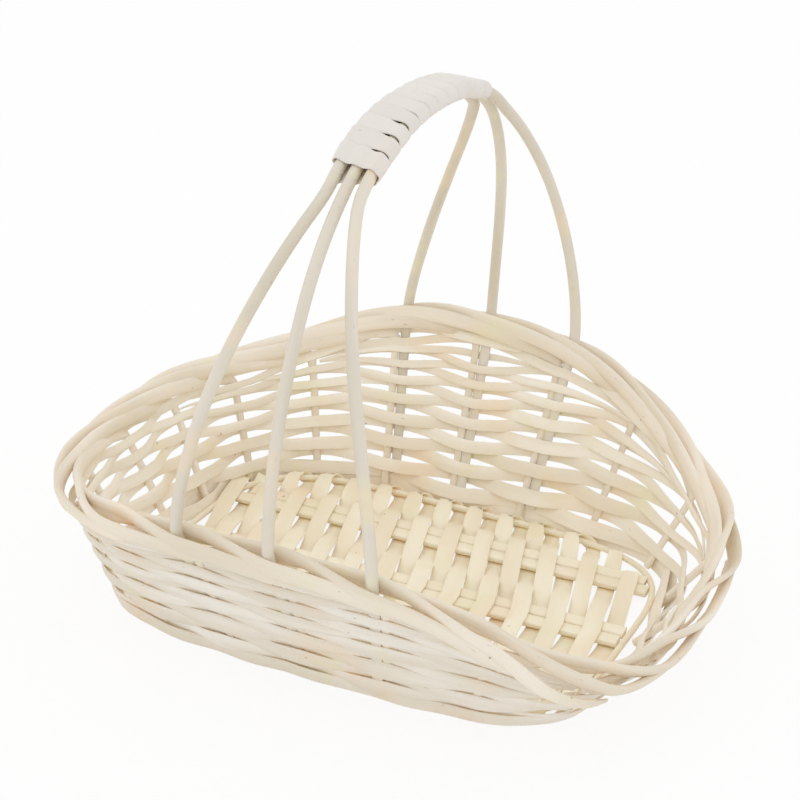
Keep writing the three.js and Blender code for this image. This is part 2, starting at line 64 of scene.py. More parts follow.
def number(name, description, default):
    return FloatProperty(name=name, description=description, default=default)


def count(name, description, default):
    return IntProperty(name=name, description=description, default=default, min=1)


def colour(name, description, default):
    return FloatVectorProperty(name=name, description=description, default=default, subtype="COLOR",
                               size=3, min=0.0, max=1.0)


def angle(name, description, default):
    return FloatProperty(name=name, description=description, default=math.radians(default), subtype="ANGLE")


class BasketOutline(PropertyGroup):
    """Outline of the border and of the base, and the heights of the wall."""
    rim_half_length: length("Rim half length", "Half the border's length", 0.180)
    rim_half_width: length("Rim half width", "Half the border's width", 0.151)
    rim_roundness: number("Rim roundness", "2 is an ellipse, more is squarer", 2.8)
    rim_left: length("Left height", "Border's height at the left end", 0.070)
    rim_right: length("Right height", "Border's height at the right end", 0.038)
    rim_front: length("Front height", "Border's height at the front", 0.087)
    rim_back: length("Back height", "Border's height at the back", 0.108)
    rim_fall: length("Back fall", "Fall of the back's border from its middle to the right", 0.008)
    rim_climb: length("Right climb", "Climb of the right end's border from its middle to the back", 0.008)
    rim_rise_front: number("Front rise", "How late the border rises towards the front", 4.9)
    rim_rise_back: number("Back rise", "How late the border rises towards the back", 7.0)
    base_half_length: length("Base half length", "Half the base's length", 0.1455)
    base_half_width: length("Base half width", "Half the base's width", 0.113)
    base_roundness: number("Base roundness", "2 is an ellipse, more is squarer", 4.15)
    clearance: length("Clearance", "Room between strands that touch", 0.0003)


class BasketStakes(PropertyGroup):
    """Upright stakes and the border strokes that they bend into."""
    stakes: count("Stakes", "Stakes round the wall", 20)
    diameter: length("Diameter", "Spacing diameter of a stake", 0.0044)
    fullness: number("Fullness", "A stake's thickness against its spacing diameter", 1.08)
    flatness: number("Flatness", "A stake's depth through the back wall against its width", 0.55)
    front_flatness: number("Front flatness", "Depth through the front wall against a stake's width", 0.24)
    end_flatness: number("End flatness", "Depth of the weave at the ends against a stake's width", 0.95)
    front_depth: length("Front depth", "Thickness through the wall of a border stroke at the front", 0.0050)
    back_depth: length("Back depth", "Thickness through the wall of a border stroke at the back", 0.0034)
    front_stroke: length("Front stroke", "Thickness up the wall of a border stroke at the front", 0.0090)
    back_stroke: length("Back stroke", "Thickness up the wall of a border stroke at the back", 0.0094)
    outer_stroke: number("Outer stroke", "How much wider a stroke is where it lies outside", 1.25)
    foot_drop: length("Foot drop", "How far a stake goes below the base's middle", 0.002)
    stroke: number("Stroke", "Stake spaces that a border stroke covers", 4.1)
    strand_gap: length("Strand gap", "Room between strokes", 0.0012)
    border_room: length("Border room", "Room between the strokes and the handle rods", 0.0005)
    spring_lift: number("Spring lift", "Height where the rods leave the border, in strand lifts", 1.15)
    peak: number("Peak", "Height of a stroke's roof shape, in strand lifts", 1.4)
    rounding: number("Rounding", "Rounding of a stroke's roof shape, in stake spaces", 0.45)
    crossing: number("Crossing", "Half the length of a stroke's way across the top, in stake spaces", 0.55)
    top_at: number("Top at", "Stake space at which a stroke crosses the top", 2.4)
    slack_at: number("Slack at", "Place round the border of the loose strokes", 0.885)
    slack_reach: length("Slack reach", "How far the loose strokes stand out", 0.008)
    slack_drop: length("Slack drop", "How far the loose strokes hang down", 0.004)


class BasketRows(PropertyGroup):
    """Flat splits woven in and out of the stakes."""
    crown: length("Crown", "Thickness of a split at its middle", 0.0010)
    row_gap: length("Row gap", "Spacing left between rows", 0.0007)
    lower_rounds: count("Lower rounds", "Full rounds at the foot of the wall", 3)
    upper_rounds: count("Upper rounds", "Full rounds under the border", 2)
    left_rows: count("Left rows", "Rows at the left end", 11)
    right_rows: count("Right rows", "Rows at the right end", 6)
    front_rows: count("Front rows", "Rows at the front", 13)
    back_rows: count("Back rows", "Rows at the back", 17)
    rise: number("Rise", "How late the rows grow in number towards the long sides", 2.4)
    crowding: number("Crowding", "How much closer the upper rows lie", 0.3)
    first_lift: length("First lift", "Start of the lowest row above the base's middle", 0.0036)
    border_drop: length("Border drop", "Room kept under the border", 0.0126)
    top_room: length("Top room", "Room between the uppermost row and the rim's line", 0.0048)
    front_fullness: number("Front fullness", "Row width at the front against the row spacing", 1.74)
    back_fullness: number("Back fullness", "Row width at the back against the row spacing", 1.22)
    right_fullness: number("Right fullness", "Row width at the right end against the rest", 0.58)
    front_lap: angle("Front lap", "How far a row at the front leans over the one below", 2.5)
    end_drop: length("End drop", "How much lower the lowest rows lie at the ends", 0.0060)
    front_uneven: number("Front unevenness", "How uneven the front rows are against the back ones", 1.0)
    front_stagger: length("Front stagger", "Rise of a front row outside a post, and fall inside", 0.0011)
    stagger: length("Stagger", "Rise of a back row outside a post, and fall inside", 0.0018)
    tail: number("Tail", "Length of a packing row past its last post, in stake spaces", 0.9)
    tail_width: length("Tail width", "Width of a packing row's end", 0.0009)
    foot_width: length("Foot width", "Width of the round beside the base", 0.0102)
    foot_lift: length("Foot lift", "Height of the round beside the base", 0.0031)


class BasketBase(PropertyGroup):
    """Base panel: hoop, laths and the wide split across them."""
    lath_width: length("Lath width", "Width of a half-round lath", 0.0105)
    lath_thickness: length("Lath thickness", "Thickness of a lath", 0.0042)
    lath_spacing: length("Lath spacing", "Distance between pairs of laths", 0.063)
    pair_gap: length("Pair gap", "Room between the laths of a pair", 0.0006)
    lath_end_gap: length("Lath end gap", "Room between a lath's end and the hoop", 0.001)
    hoop_diameter: length("Hoop diameter", "Thickness of the base hoop", 0.0038)
    split_width: length("Split width", "Width of the base split", 0.0097)
    split_thickness: length("Split thickness", "Thickness of the base split", 0.0013)
    split_pitch: length("Split pitch", "Distance between passes of the base split", 0.0107)
    fullness: number("Fullness", "The split's width against its spacing width", 1.10)
    turn_width: length("Turn width", "Width of the split where it turns round the hoop", 0.0086)
    turn_room: length("Turn room", "Room between the hoop and the split's turn", 0.0005)
    corner: length("Corner", "Length of the base's end that has separate splits", 0.016)
    slant: number("Slant", "How far the splits lean away from square in the middle", 0.26)
    fan: number("Fan", "How much more the splits lean at the right end than in the middle", 0.06)
    front_slant: number("Front slant", "Share of the slant that the front half has", 0.3)
    shift: length("Shift", "How far the passes lie to the right of the middle", 0.0025)
    lath_slant: number("Lath slant", "How far the laths lean away from the length", 0.05)


class BasketHandle(PropertyGroup):
    """Three handle rods and the split wound round them."""
    rod_diameter: length("Rod diameter", "Thickness of a handle rod", 0.0066)
    shaved: number("Shaved", "Flatness of a rod's end in the wall against a stake's", 0.85)
    rod_gap: length("Rod gap", "Room between the rods at the grip", 0.0026)
    foot_lift: length("Foot lift", "Height of a rod's foot above the base's middle", 0.008)
    skew: length("Skew", "How far the back feet stand round the rim", 0.015)
    height: length("Height", "Height of the rods at the top", 0.296)
    fullness: number("Fullness", "2 is an elliptic arch, more is squarer", 2.35)
    gather_drop: length("Gather drop", "Depth below the top at which the rods have come together", 0.029)
    gather_power: number("Gather power", "How late the rods come together", 1.45)
    wrap_turns: count("Wrap turns", "Turns of the wound split", 12)
    wrap_width: length("Wrap width", "Width of the wound split", 0.0138)
    wrap_pitch: length("Wrap pitch", "Distance between turns", 0.0124)
    wrap_shift: length("Wrap shift", "How far the binding sits towards the front", 0.0075)
    wrap_flare: number("Wrap flare", "How much wider the binding is at its front end", 0.08)
    wrap_lean: angle("Wrap lean", "How much a turn lifts to lie over its neighbour", 3.0)
    wrap_thickness: length("Wrap thickness", "Thickness of the wound split", 0.0010)
    hem_dip: length("Hem dip", "How far the binding's ends sink between the rods", 0.0013)
    wrap_room: length("Wrap room", "Room between the rods and the wound split", 0.0005)


class BasketColours(PropertyGroup):
    """Colours of the peeled willow, and the painted cool shade on the outer face of the wall splits."""
    stake: colour("Stake", "Peeled willow rods of the wall and border", (0.905, 0.825, 0.70))
    split: colour("Wall split", "Split willow of the wall", (0.955, 0.885, 0.765))
    base: colour("Base split", "Split willow of the base", (0.98, 0.885, 0.70))
    rod: colour("Handle rod", "Peeled handle rods", (0.785, 0.728, 0.622))
    wrap: colour("Binding", "Shaved split of the binding", (0.81, 0.77, 0.72))
    warm: colour("Warm patches", "Peach tint in the willow", (0.94, 0.76, 0.55))
    green: colour("Green patches", "Olive tint in the willow", (0.86, 0.82, 0.52))
    scar: colour("Scars", "Knots and leaf scars", (0.24, 0.15, 0.075))
    # Painted shade: this cool, slightly darker tint is multiplied onto the outer face of the wall splits in
    # place of the shade on the outside of the wall
    bark: colour("Bark side", "Tint of the smooth side that lay under the bark", (0.955, 0.965, 1.0))


class BasketStage(PropertyGroup):
    """Camera, floor and light."""
    camera_turn: angle("Camera turn", "Turn of the camera round the basket", 23.65)
    camera_rise: angle("Camera rise", "Camera's angle above the horizon", 24.34)
    camera_roll: angle("Camera roll", "Turn of the picture", 3.06)
    camera_distance: length("Camera distance", "From the camera to the point looked at", 1.217)
    look_at: FloatVectorProperty(name="Look at", description="Point that the camera looks at",
                                 default=(-0.00358, 0.0, 0.12011), subtype="XYZ", unit="LENGTH", size=3)
    focal_pixels: number("Focal pixels", "Focal length in pixels of the photograph", 2174.2)
    floor_size: length("Floor size", "Half the floor's side", 6.0)
    floor: colour("Floor", "Plain pale floor", (0.98, 0.98, 0.98))
    sky_strength: number("Sky strength", "Light from all round", 0.93)
    key_energy: number("Key energy", "Power of the large lamp overhead", 1.2)
    light_bounces: count("Light bounces", "How often light passes on between the pale strands", 12)


Wall = namedtuple("Wall", "foot slope along out height")
Station = namedtuple("Station", "point side half_width half_depth")
Post = namedtuple("Post", "stake beside radius lap")
Stop = namedtuple("Stop", "turn beside outward share width")
HandleRod = namedtuple("HandleRod", "name front back lean")
Waver = namedtuple("Waver", "seed reach pace")
Finish = namedtuple("Finish", "contrast patchiness bark grain roughness")
Pattern = namedtuple("Pattern", "stretch detail roughness span share", defaults=(0.5, (0.0, 1.0), 1.0))

# Steps along the strands, as lengths and as numbers
STAKE_STEP = 0.0032
ROW_STEP = 0.0042
ROD_STEP = 0.004
WRAP_STEP = 0.0005
STROKE_STEPS = 48
FOOT_STEPS = 240
HOOP_STEPS = 200
LATH_STEPS = 90
PASS_STEPS = 38
TURN_STEPS = 7
ARCH_STEPS = 28
LAP_STEPS = 44
WRAP_LOOK = 8
REACH_ROUNDS = 20
CORNER_CUTS = 2
CORNER_CUT = 0.25
HOOP_NUDGE = 0.0005
TINY = 1e-9

# Sections: their corners, how square and how crowned they are, and the angle at which an edge looks sharp
STAKE_CORNERS = 12
SPLIT_CORNERS = 10
LATH_CORNERS = 14
ROD_CORNERS = 16
HOOP_CORNERS = 10
WRAP_CORNERS = 12
SPLIT_EDGE = 0.45
SPLIT_FACE = 0.6
LATH_EDGE = 0.75
LATH_UNDERSIDE = 0.3
SKEIN_CROWN = 1.9
BINDING_CROWN = 0.7
CREASE = 60.0
SKEIN_CREASE = 35.0

# Where the strands start in the grain, so that no two look alike
STAKE_GRAIN = 1.7
ROW_GRAIN = 0.37
FOOT_GRAIN = 5.1
HOOP_GRAIN = 2.3
LATH_GRAIN = 2.1
WEAVE_GRAIN = 9.0
END_GRAIN = 11.0
ROD_GRAIN = 3.3
WRAP_GRAIN = 4.4

# Unevenness along the strands
SEEDS_APART = (7.31, 3.17)
SWAYS_APART = (5.7, 2.9)
SWAY_SEED = 1
STAKE_SWAY = Waver(0.0, 0.0006, 22.0)
STAKE_GIRTH = Waver(0.5, 0.06, 0.11)
ROW_EARLY = Waver(20.0, 1.1, 31.0)
ROW_LEVEL = Waver(0.0, 0.0005, 19.0)
FRONT_LEVEL = Waver(120.0, 0.0008, 47.0)
ROW_WIDTH = Waver(40.0, 0.11, 13.0)
FRONT_WIDTH = Waver(160.0, 0.143, 41.0)
ROW_ROLL = Waver(80.0, 0.10, 17.0)
FRONT_ROLL = Waver(200.0, 0.12, 43.0)
FOOT_SWAY = Waver(3.0, 0.0009, 0.19)
LATH_SWAY = Waver(20.0, 0.0003, 0.07)
LATH_GIRTH = Waver(30.0, 0.03, 0.06)
PASS_SWAY = Waver(60.0, 0.0004, 30.0)
PASS_WIDTH = Waver(90.0, 0.06, 25.0)
ROD_SWAY = Waver(50.0, 0.0016, 9.0)
ROD_GIRTH = Waver(5.0, 0.045, 0.11)
WRAP_SWELL = Waver(7.0, 0.0003, 60.0)
WRAP_OPEN = Waver(12.0, 0.8, 9.0)
WRAP_WIDTH = Waver(2.0, 0.03, 35.0)

# Wall and border: the spans over which one thing passes into another, and its amount
FRONT_TO_BACK = (-0.75, 0.35)
BORDER_FRONT_TO_BACK = (-0.5, 0.5)
END_SPAN = (0.55, 0.95)
TUCK_SPAN = (0.15, 0.75)
SLACK_SPAN = (2.8, 3.5)
SLACK_SPREAD = 0.03
OUTER_SPAN = (0.62, 0.8)
BEND_SPAN = (-0.004, 0.016)
BEND_BELOW = 1.5
BEND_LEAN = 0.4
STROKE_START = 0.2
STAKE_TAPER = (1.04, 0.92)
TIP_TAPER = 0.5
TIP_STEPS = 4
CROSSING_SPAN = (0.06, 0.94)
CROSSING_PINCH = 0.20
LATTICE_RISE = (0.05, 0.35)
TOP_SPAN = (0.82, 0.95)
TOP_SWELL = 0.35
FOOT_BULGE = 0.0004

# Base, handle and binding
END_STRAIGHTENING = 0.5
END_LENGTH = 0.055
PASS_TAPER = 0.012
END_SPLIT_REACH = 0.004
TOWARDS_FRONT = Vector((0.0, -1.0, 0.0))
ROD_FULLNESS = 0.98
GRIP_SPAN = (-0.03, 0.01)
SHAVED_SPAN = (-0.020, -0.004)
OPEN_ACROSS = (-0.2, 0.9)
OPEN_ABOVE = (-0.5, 0.5)
OPEN_SHARE = 0.7
OPEN_PINCH = 0.27
HEM_START = (0.02, 0.13)
HEM_END = (0.92, 0.99)
FLARE_SPAN = (0.0, 0.6)

# Willow: its patterns along the strand and in space, and how each kind is finished
TONE = Pattern((9.0, 0.25, 0.25), 1.0, span=(0.3, 0.7))
STREAKS = Pattern((28.0, 2.6, 2.6), 3.0, span=(0.45, 0.75), share=0.22)
FIBRES = Pattern((90.0, 11.0, 11.0), 2.0, roughness=0.6)
SPECKS = Pattern((160.0, 3.2, 3.2), 1.0, span=(0.74, 0.82), share=0.35)
WARM_PATCHES = Pattern((24.0, 24.0, 24.0), 2.0, span=(0.52, 0.74), share=0.34)
GREEN_PATCHES = Pattern((31.0, 31.0, 40.3), 2.0, span=(0.56, 0.76), share=0.30)
KNOT_PLACES = Pattern((37.0, 37.0, 37.0), 0.0, span=(0.56, 0.60), share=0.6)
KNOT_STRETCH = (95.0, 0.32, 0.32)
KNOT_SPAN = (0.03, 0.10)
# Depth through a section over which the painted cool shade comes in on the outer face
BARK_SIDE_SHADE_SPAN = (-0.4, 0.4)
DIM_DROPS = (0.085, 0.10, 0.14)
LIGHT_GAINS = (0.035, 0.04, 0.06)
PALEST = 0.98
STREAK_RELIEF = 0.6
FIBRE_RELIEF = 0.4
GRAIN_DEPTH = 0.0006
FIBRE_GLOSS = 0.14
WILLOW_IOR = 1.45
WILLOW_SPECULAR = 0.32
# Each finish also sets how strongly the painted cool shade lies on a strand's outer face; only the wall
# splits take it
FINISHES = {
    "stake": Finish(1.2, 1.2, 0.0, 0.45, 0.62),
    "split": Finish(1.1, 1.5, 1.0, 0.45, 0.60),
    "base": Finish(0.8, 1.4, 0.0, 0.45, 0.60),
    "rod": Finish(1.1, 2.0, 0.0, 0.40, 0.58),
    "wrap": Finish(0.3, 0.25, 0.0, 0.30, 0.50),
}

# Stage
PICTURE_WIDTH = 800.0
SENSOR_WIDTH = 36.0
CLIP_START = 0.05
WHITE = (1.0, 1.0, 1.0, 1.0)
FLOOR_GLOW = 0.86
LAMP_SIZE = (1.6, 1.2)
LAMP_PLACE = Vector((-0.75, -0.15, 1.5))
LAMP_AIM = Vector((0.0, 0.0, 0.1))


def mix(low, high, share):
    return low + (high - low) * share


def ease(value, low, high):
    share = min(max((value - low) / (high - low), 0.0), 1.0)
    return share * share * (3.0 - 2.0 * share)


def squared(value, power):
    """Pulls a number towards 1 or -1, as a power below 1 does."""
    return math.copysign(abs(value) ** power, value)


def wander(waver, seed, distance):
    """How much a strand changes at one place: smoothly, and by about the waver's reach at most."""
    row = waver.seed + seed
    place = Vector((distance * waver.pace, row * SEEDS_APART[0], row * SEEDS_APART[1]))
    return waver.reach * noise.noise(place)


class Oval:
    """A closed outline between an ellipse and a rectangle, walked by its own length."""
    SAMPLES = 3000

    def __init__(self, half_length, half_width, roundness):
        self.half_length = half_length
        self.half_width = half_width
        self.roundness = roundness
        points = [self.at_angle(index / self.SAMPLES) for index in range(self.SAMPLES + 1)]
        self.marks = [0.0]
        for point, following in zip(points, points[1:]):
            self.marks.append(self.marks[-1] + (following - point).length)
        self.length = self.marks[-1]

    def at_angle(self, turn):
        place = turn * 2.0 * math.pi
        power = 2.0 / self.roundness
        across = squared(math.cos(place), power)
        back = squared(math.sin(place), power)
        return Vector((self.half_length * across, self.half_width * back, 0.0))

    def at(self, turn):
        wanted = (turn % 1.0) * self.length
        index = min(bisect.bisect_right(self.marks, wanted), self.SAMPLES) - 1
        share = (wanted - self.marks[index]) / (self.marks[index + 1] - self.marks[index])
        return self.at_angle((index + share) / self.SAMPLES)

    def reach(self, along):
        share = min(abs(along) / self.half_length, 1.0)
        return self.half_width * (1.0 - share ** self.roundness) ** (1.0 / self.roundness)


class Plan:
    """Lines and levels that every strand of the basket follows."""
    NUDGE = 1e-4

    def __init__(self, scene):
        self.outline = scene.basket_outline
        self.stakes = scene.basket_stakes
        self.rows = scene.basket_rows
        self.base = scene.basket_base
        self.handle = scene.basket_handle
        outline = self.outline
        self.rim = Oval(outline.rim_half_length, outline.rim_half_width, outline.rim_roundness)
        self.foot = Oval(outline.base_half_length, outline.base_half_width, outline.base_roundness)
        base = self.base
        self.base_level = base.split_thickness + outline.clearance + base.lath_thickness / 2
        self.pair_offset = (self.stakes.diameter + self.handle.rod_diameter) / 2 + outline.clearance
        self.border_reach = (self.stakes.diameter + self.handle.rod_diameter) / 2 + self.stakes.border_room
        self.border_lift = self.stakes.diameter + self.stakes.strand_gap
        self.row_counts = [self.rows_at(stake) for stake in range(self.stakes.stakes)]
        back = self.stakes.stakes // 4
        front = 3 * back
        self.handle_rods = (
            HandleRod("left", front - 1, back + 1, -1),
            HandleRod("middle", front, back, 0),
            HandleRod("right", front + 1, back - 1, 1),
        )

    def rim_height(self, place):
        outline = self.outline
        along = place.x / outline.rim_half_length
        across = place.y / outline.rim_half_width
        ends = mix(outline.rim_left, outline.rim_right + outline.rim_climb * across, (along + 1.0) / 2.0)
        back = (across + 1.0) / 2.0
        sides = mix(outline.rim_front, outline.rim_back - outline.rim_fall * along, back)
        return mix(ends, sides, abs(across) ** mix(outline.rim_rise_front, outline.rim_rise_back, back))

    def wall(self, turn):
        """The wall at one place round the basket: its foot, and the directions up, along and out of it."""
        foot = self.foot.at(turn)
        foot.z = self.base_level
        rim = self.rim.at(turn)
        rim.z = self.rim_height(rim)
        slope = rim - foot
        height = slope.length
        slope.normalize()
        along = (self.rim.at(turn + self.NUDGE) - self.rim.at(turn - self.NUDGE)).normalized()
        return Wall(foot, slope, along, along.cross(slope).normalized(), height)

    def stake_turn(self, stake):
        even = stake / self.stakes.stakes
        askew = self.handle.skew * (1.0 + math.sin(2.0 * math.pi * even)) / 2.0
        return even + (self.pair_offset / 2.0 + askew) / self.rim.length

    @staticmethod
    def facing(turn):
        """0 at the front of the basket and 1 at the back."""
        return ease(math.sin(2.0 * math.pi * turn), *FRONT_TO_BACK)

    @staticmethod
    def at_end(turn):
        """1 at the left and right ends of the basket and 0 at its long sides."""
        return ease(abs(math.cos(2.0 * math.pi * turn)), *END_SPAN)

    def flatness(self, turn):
        """Depth of the posts through the wall at one place, against a stake's width."""
        sides = mix(self.stakes.front_flatness, self.stakes.flatness, self.facing(turn))
        return mix(sides, self.stakes.end_flatness, self.at_end(turn))

    def rows_at(self, stake):
        rows = self.rows
        place = 2.0 * math.pi * stake / self.stakes.stakes
        ends = mix(rows.left_rows, rows.right_rows, (math.cos(place) + 1.0) / 2.0)
        sides = mix(rows.front_rows, rows.back_rows, (math.sin(place) + 1.0) / 2.0)
        return math.floor(mix(ends, sides, abs(math.sin(place)) ** rows.rise))

    def row_room(self, wall):
        return wall.height - self.rows.first_lift - self.rows.top_room

    def row_spread(self, share):
        return share + self.rows.crowding * math.sin(math.pi * share) / math.pi

    def row_width(self, stake, order):
        total = self.row_counts[stake]
        part = self.row_spread((order + 1) / total) - self.row_spread(order / total)
        return part * self.row_room(self.wall(self.stake_turn(stake))) - self.rows.row_gap

    def posts(self):
        """Every post that a split passes: the stakes, and before six of them a handle rod."""
        beside_rod = {stake for rod in self.handle_rods for stake in (rod.front, rod.back)}
        posts = []
        for stake in range(self.stakes.stakes):
            flatness = self.flatness(self.stake_turn(stake))
            if stake in beside_rod:
                radius = self.handle.rod_diameter / 2 * self.handle.shaved * flatness
                posts.append(Post(stake, -self.pair_offset, radius, 0))
            posts.append(Post(stake, 0.0, self.stakes.diameter / 2 * flatness, 0))
        return posts


def wall_point(wall, distance, outward=0.0, beside=0.0):
    return wall.foot + wall.slope * distance + wall.out * outward + wall.along * beside


def rounded_line(points, rounds):
    """Cuts the corners of a line again and again, so that it bends softly."""
    for _ in range(rounds):
        softer = [points[0]]
        for point, following in zip(points, points[1:]):
            softer.append(point.lerp(following, CORNER_CUT))
            softer.append(point.lerp(following, 1.0 - CORNER_CUT))
        softer.append(points[-1])
        points = softer
    return points


def even_line(points, spacing):
    """The same line with its points at even distances."""
    marks = [0.0]
    for point, following in zip(points, points[1:]):
        marks.append(marks[-1] + (following - point).length)
    steps = max(2, round(marks[-1] / spacing))
    line = []
    for step in range(steps + 1):
        wanted = marks[-1] * step / steps
        index = min(bisect.bisect_right(marks, wanted), len(points) - 1) - 1
        share = (wanted - marks[index]) / max(marks[index + 1] - marks[index], TINY)
        line.append(points[index].lerp(points[index + 1], share))
    return line


def tangents(points, closed):
    total = len(points)
    found = []
    for index in range(total):
        before = points[index - 1] if closed or index else points[0]
        after = points[(index + 1) % total] if closed or index < total - 1 else points[-1]
        found.append((after - before).normalized())
    return found


def carried_sides(points, first_side):
    """One side direction per point, carried along the line without twisting."""
    side = first_side.copy()
    sides = []
    for tangent in tangents(points, False):
        side = (side - tangent * side.dot(tangent)).normalized()
        sides.append(side.copy())
    return sides


def round_section(across, through):
    return across, through


def split_section(across, through):
    """A flat split: nearly straight faces and softly rounded edges."""
    return squared(across, SPLIT_EDGE), squared(through, SPLIT_FACE)


def crowned(across, through, crown):
    return through * (1.0 + crown * (1.0 - across * across))


def skein_section(across, through):
    """A split of the wall: rounded on its skin side, which lies outside, and flat inside."""
    across, through = split_section(across, through)
    return across, crowned(across, through, SKEIN_CROWN) if through > 0.0 else through


def binding_section(across, through):
    """The wound split: crowned outside and flat inside."""
    across, through = split_section(across, through)
    return across, crowned(across, through, BINDING_CROWN) if through < 0.0 else through


def lath_section(across, through):
    """A half-round lath: crowned above and flat below."""
    return squared(across, LATH_EDGE), through if through > 0.0 else squared(through, LATH_UNDERSIDE)


def draw_strand(stations, corners, section, seed, closed=False):
    """Extrudes one section along its stations and marks each corner with its place on the strand."""
    strand = bmesh.new()
    place = strand.verts.layers.float_vector.new("strand")
    ring = bmesh.ops.create_circle(strand, cap_ends=not closed, segments=corners, radius=1.0)["verts"]
    for corner in ring:
        corner.co.x, corner.co.y = section(corner.co.x, corner.co.y)
        corner[place] = Vector((seed, corner.co.x, corner.co.y))
    edges = strand.edges[:]
    first_edges = edges
    headings = tangents([station.point for station in stations], closed)
    standing = Matrix.Identity(4)
    travelled = 0.0
    for index, station in enumerate(stations):
        if index:
            grown = bmesh.ops.extrude_edge_only(strand, edges=edges)["geom"]
            ring = [part for part in grown if isinstance(part, bmesh.types.BMVert)]
            edges = [part for part in grown if isinstance(part, bmesh.types.BMEdge)]
            travelled += (station.point - stations[index - 1].point).length
        heading = headings[index]
        side = (station.side - heading * station.side.dot(heading)).normalized()
        axes = (side * station.half_width, heading.cross(side) * station.half_depth, heading)
        stand = Matrix(axes).transposed().to_4x4()
        stand.translation = station.point
        bmesh.ops.transform(strand, matrix=stand @ standing.inverted(), verts=ring)
        standing = stand
        for corner in ring:
            mark = corner[place]
            corner[place] = Vector((seed + travelled, mark.y, mark.z))
    if closed:
        bmesh.ops.bridge_loops(strand, edges=first_edges + edges)
    else:
        bmesh.ops.edgeloop_fill(strand, edges=edges)
    bmesh.ops.recalc_face_normals(strand, faces=strand.faces)
    return strand


def place_piece(node, strand, material, crease=CREASE):
    """Turns a drawn strand into a piece that rides on the basket in place of its plain solid."""
    name = f"willow_{node}"
    mesh = bpy.data.meshes.new(name)
    strand.to_mesh(mesh)
    strand.free()
    mesh.materials.append(material)
    mesh.shade_smooth()
    mesh.set_sharp_from_angle(angle=math.radians(crease))
    piece = bpy.data.objects.new(name, mesh)
    bpy.context.scene.collection.objects.link(piece)
    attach(piece, BODY)
    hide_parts(node)


class Wire:
    """A node's output, with sums and products written as plain expressions."""

    def __init__(self, tree, socket=None):
        self.tree = tree
        self.socket = socket

    def node(self, kind, settings, inputs, output=0):
        """Adds a node, sets it up, joins its inputs and gives the wire of one output."""
        made = self.tree.nodes.new(kind)
        for name, value in settings.items():
            setattr(made, name, value)
        for name, value in inputs.items():
            if isinstance(value, Wire):
                self.tree.links.new(value.socket, made.inputs[name])
            else:
                made.inputs[name].default_value = value
        return Wire(self.tree, made.outputs[output] if made.outputs else None)

    def maths(self, operation, first, second):
        return self.node("ShaderNodeMath", {"operation": operation}, {0: first, 1: second})

    def __add__(self, other):
        return self.maths("ADD", self, other)

    __radd__ = __add__

    def __sub__(self, other):
        return self.maths("SUBTRACT", self, other)

    def __rsub__(self, other):
        return self.maths("SUBTRACT", other, self)

    def __mul__(self, other):
        return self.maths("MULTIPLY", self, other)

    __rmul__ = __mul__

    def between(self, low, high):
        """0 below low, 1 above high and smooth in between."""
        return self.node("ShaderNodeMapRange", {"interpolation_type": "SMOOTHSTEP"},
                         {"Value": self, "From Min": low, "From Max": high})

    def tint(self, under, over):
        """Mixes two colours by this value."""
        return self.node("ShaderNodeMix", {"data_type": "RGBA"}, {0: self, 6: under, 7: over}, 2)

    def stretched(self, scale):
        """This place with each direction scaled, so that a pattern runs along it."""
        return self.node("ShaderNodeVectorMath", {"operation": "MULTIPLY"}, {0: self, 1: scale})

    def cloud(self, pattern):
        """A cloudy pattern laid over this place."""
        return self.node("ShaderNodeTexNoise", {}, {
            "Vector": self.stretched(pattern.stretch), "Scale": 1.0, "Detail": pattern.detail,
            "Roughness": pattern.roughness}, "Fac")

    def shown(self, pattern):
        """A pattern's cloud cut to where it shows, and weakened to its share."""
        return self.between(*pattern.span) * pattern.share


def opaque(shade):
    return (*shade, 1.0)


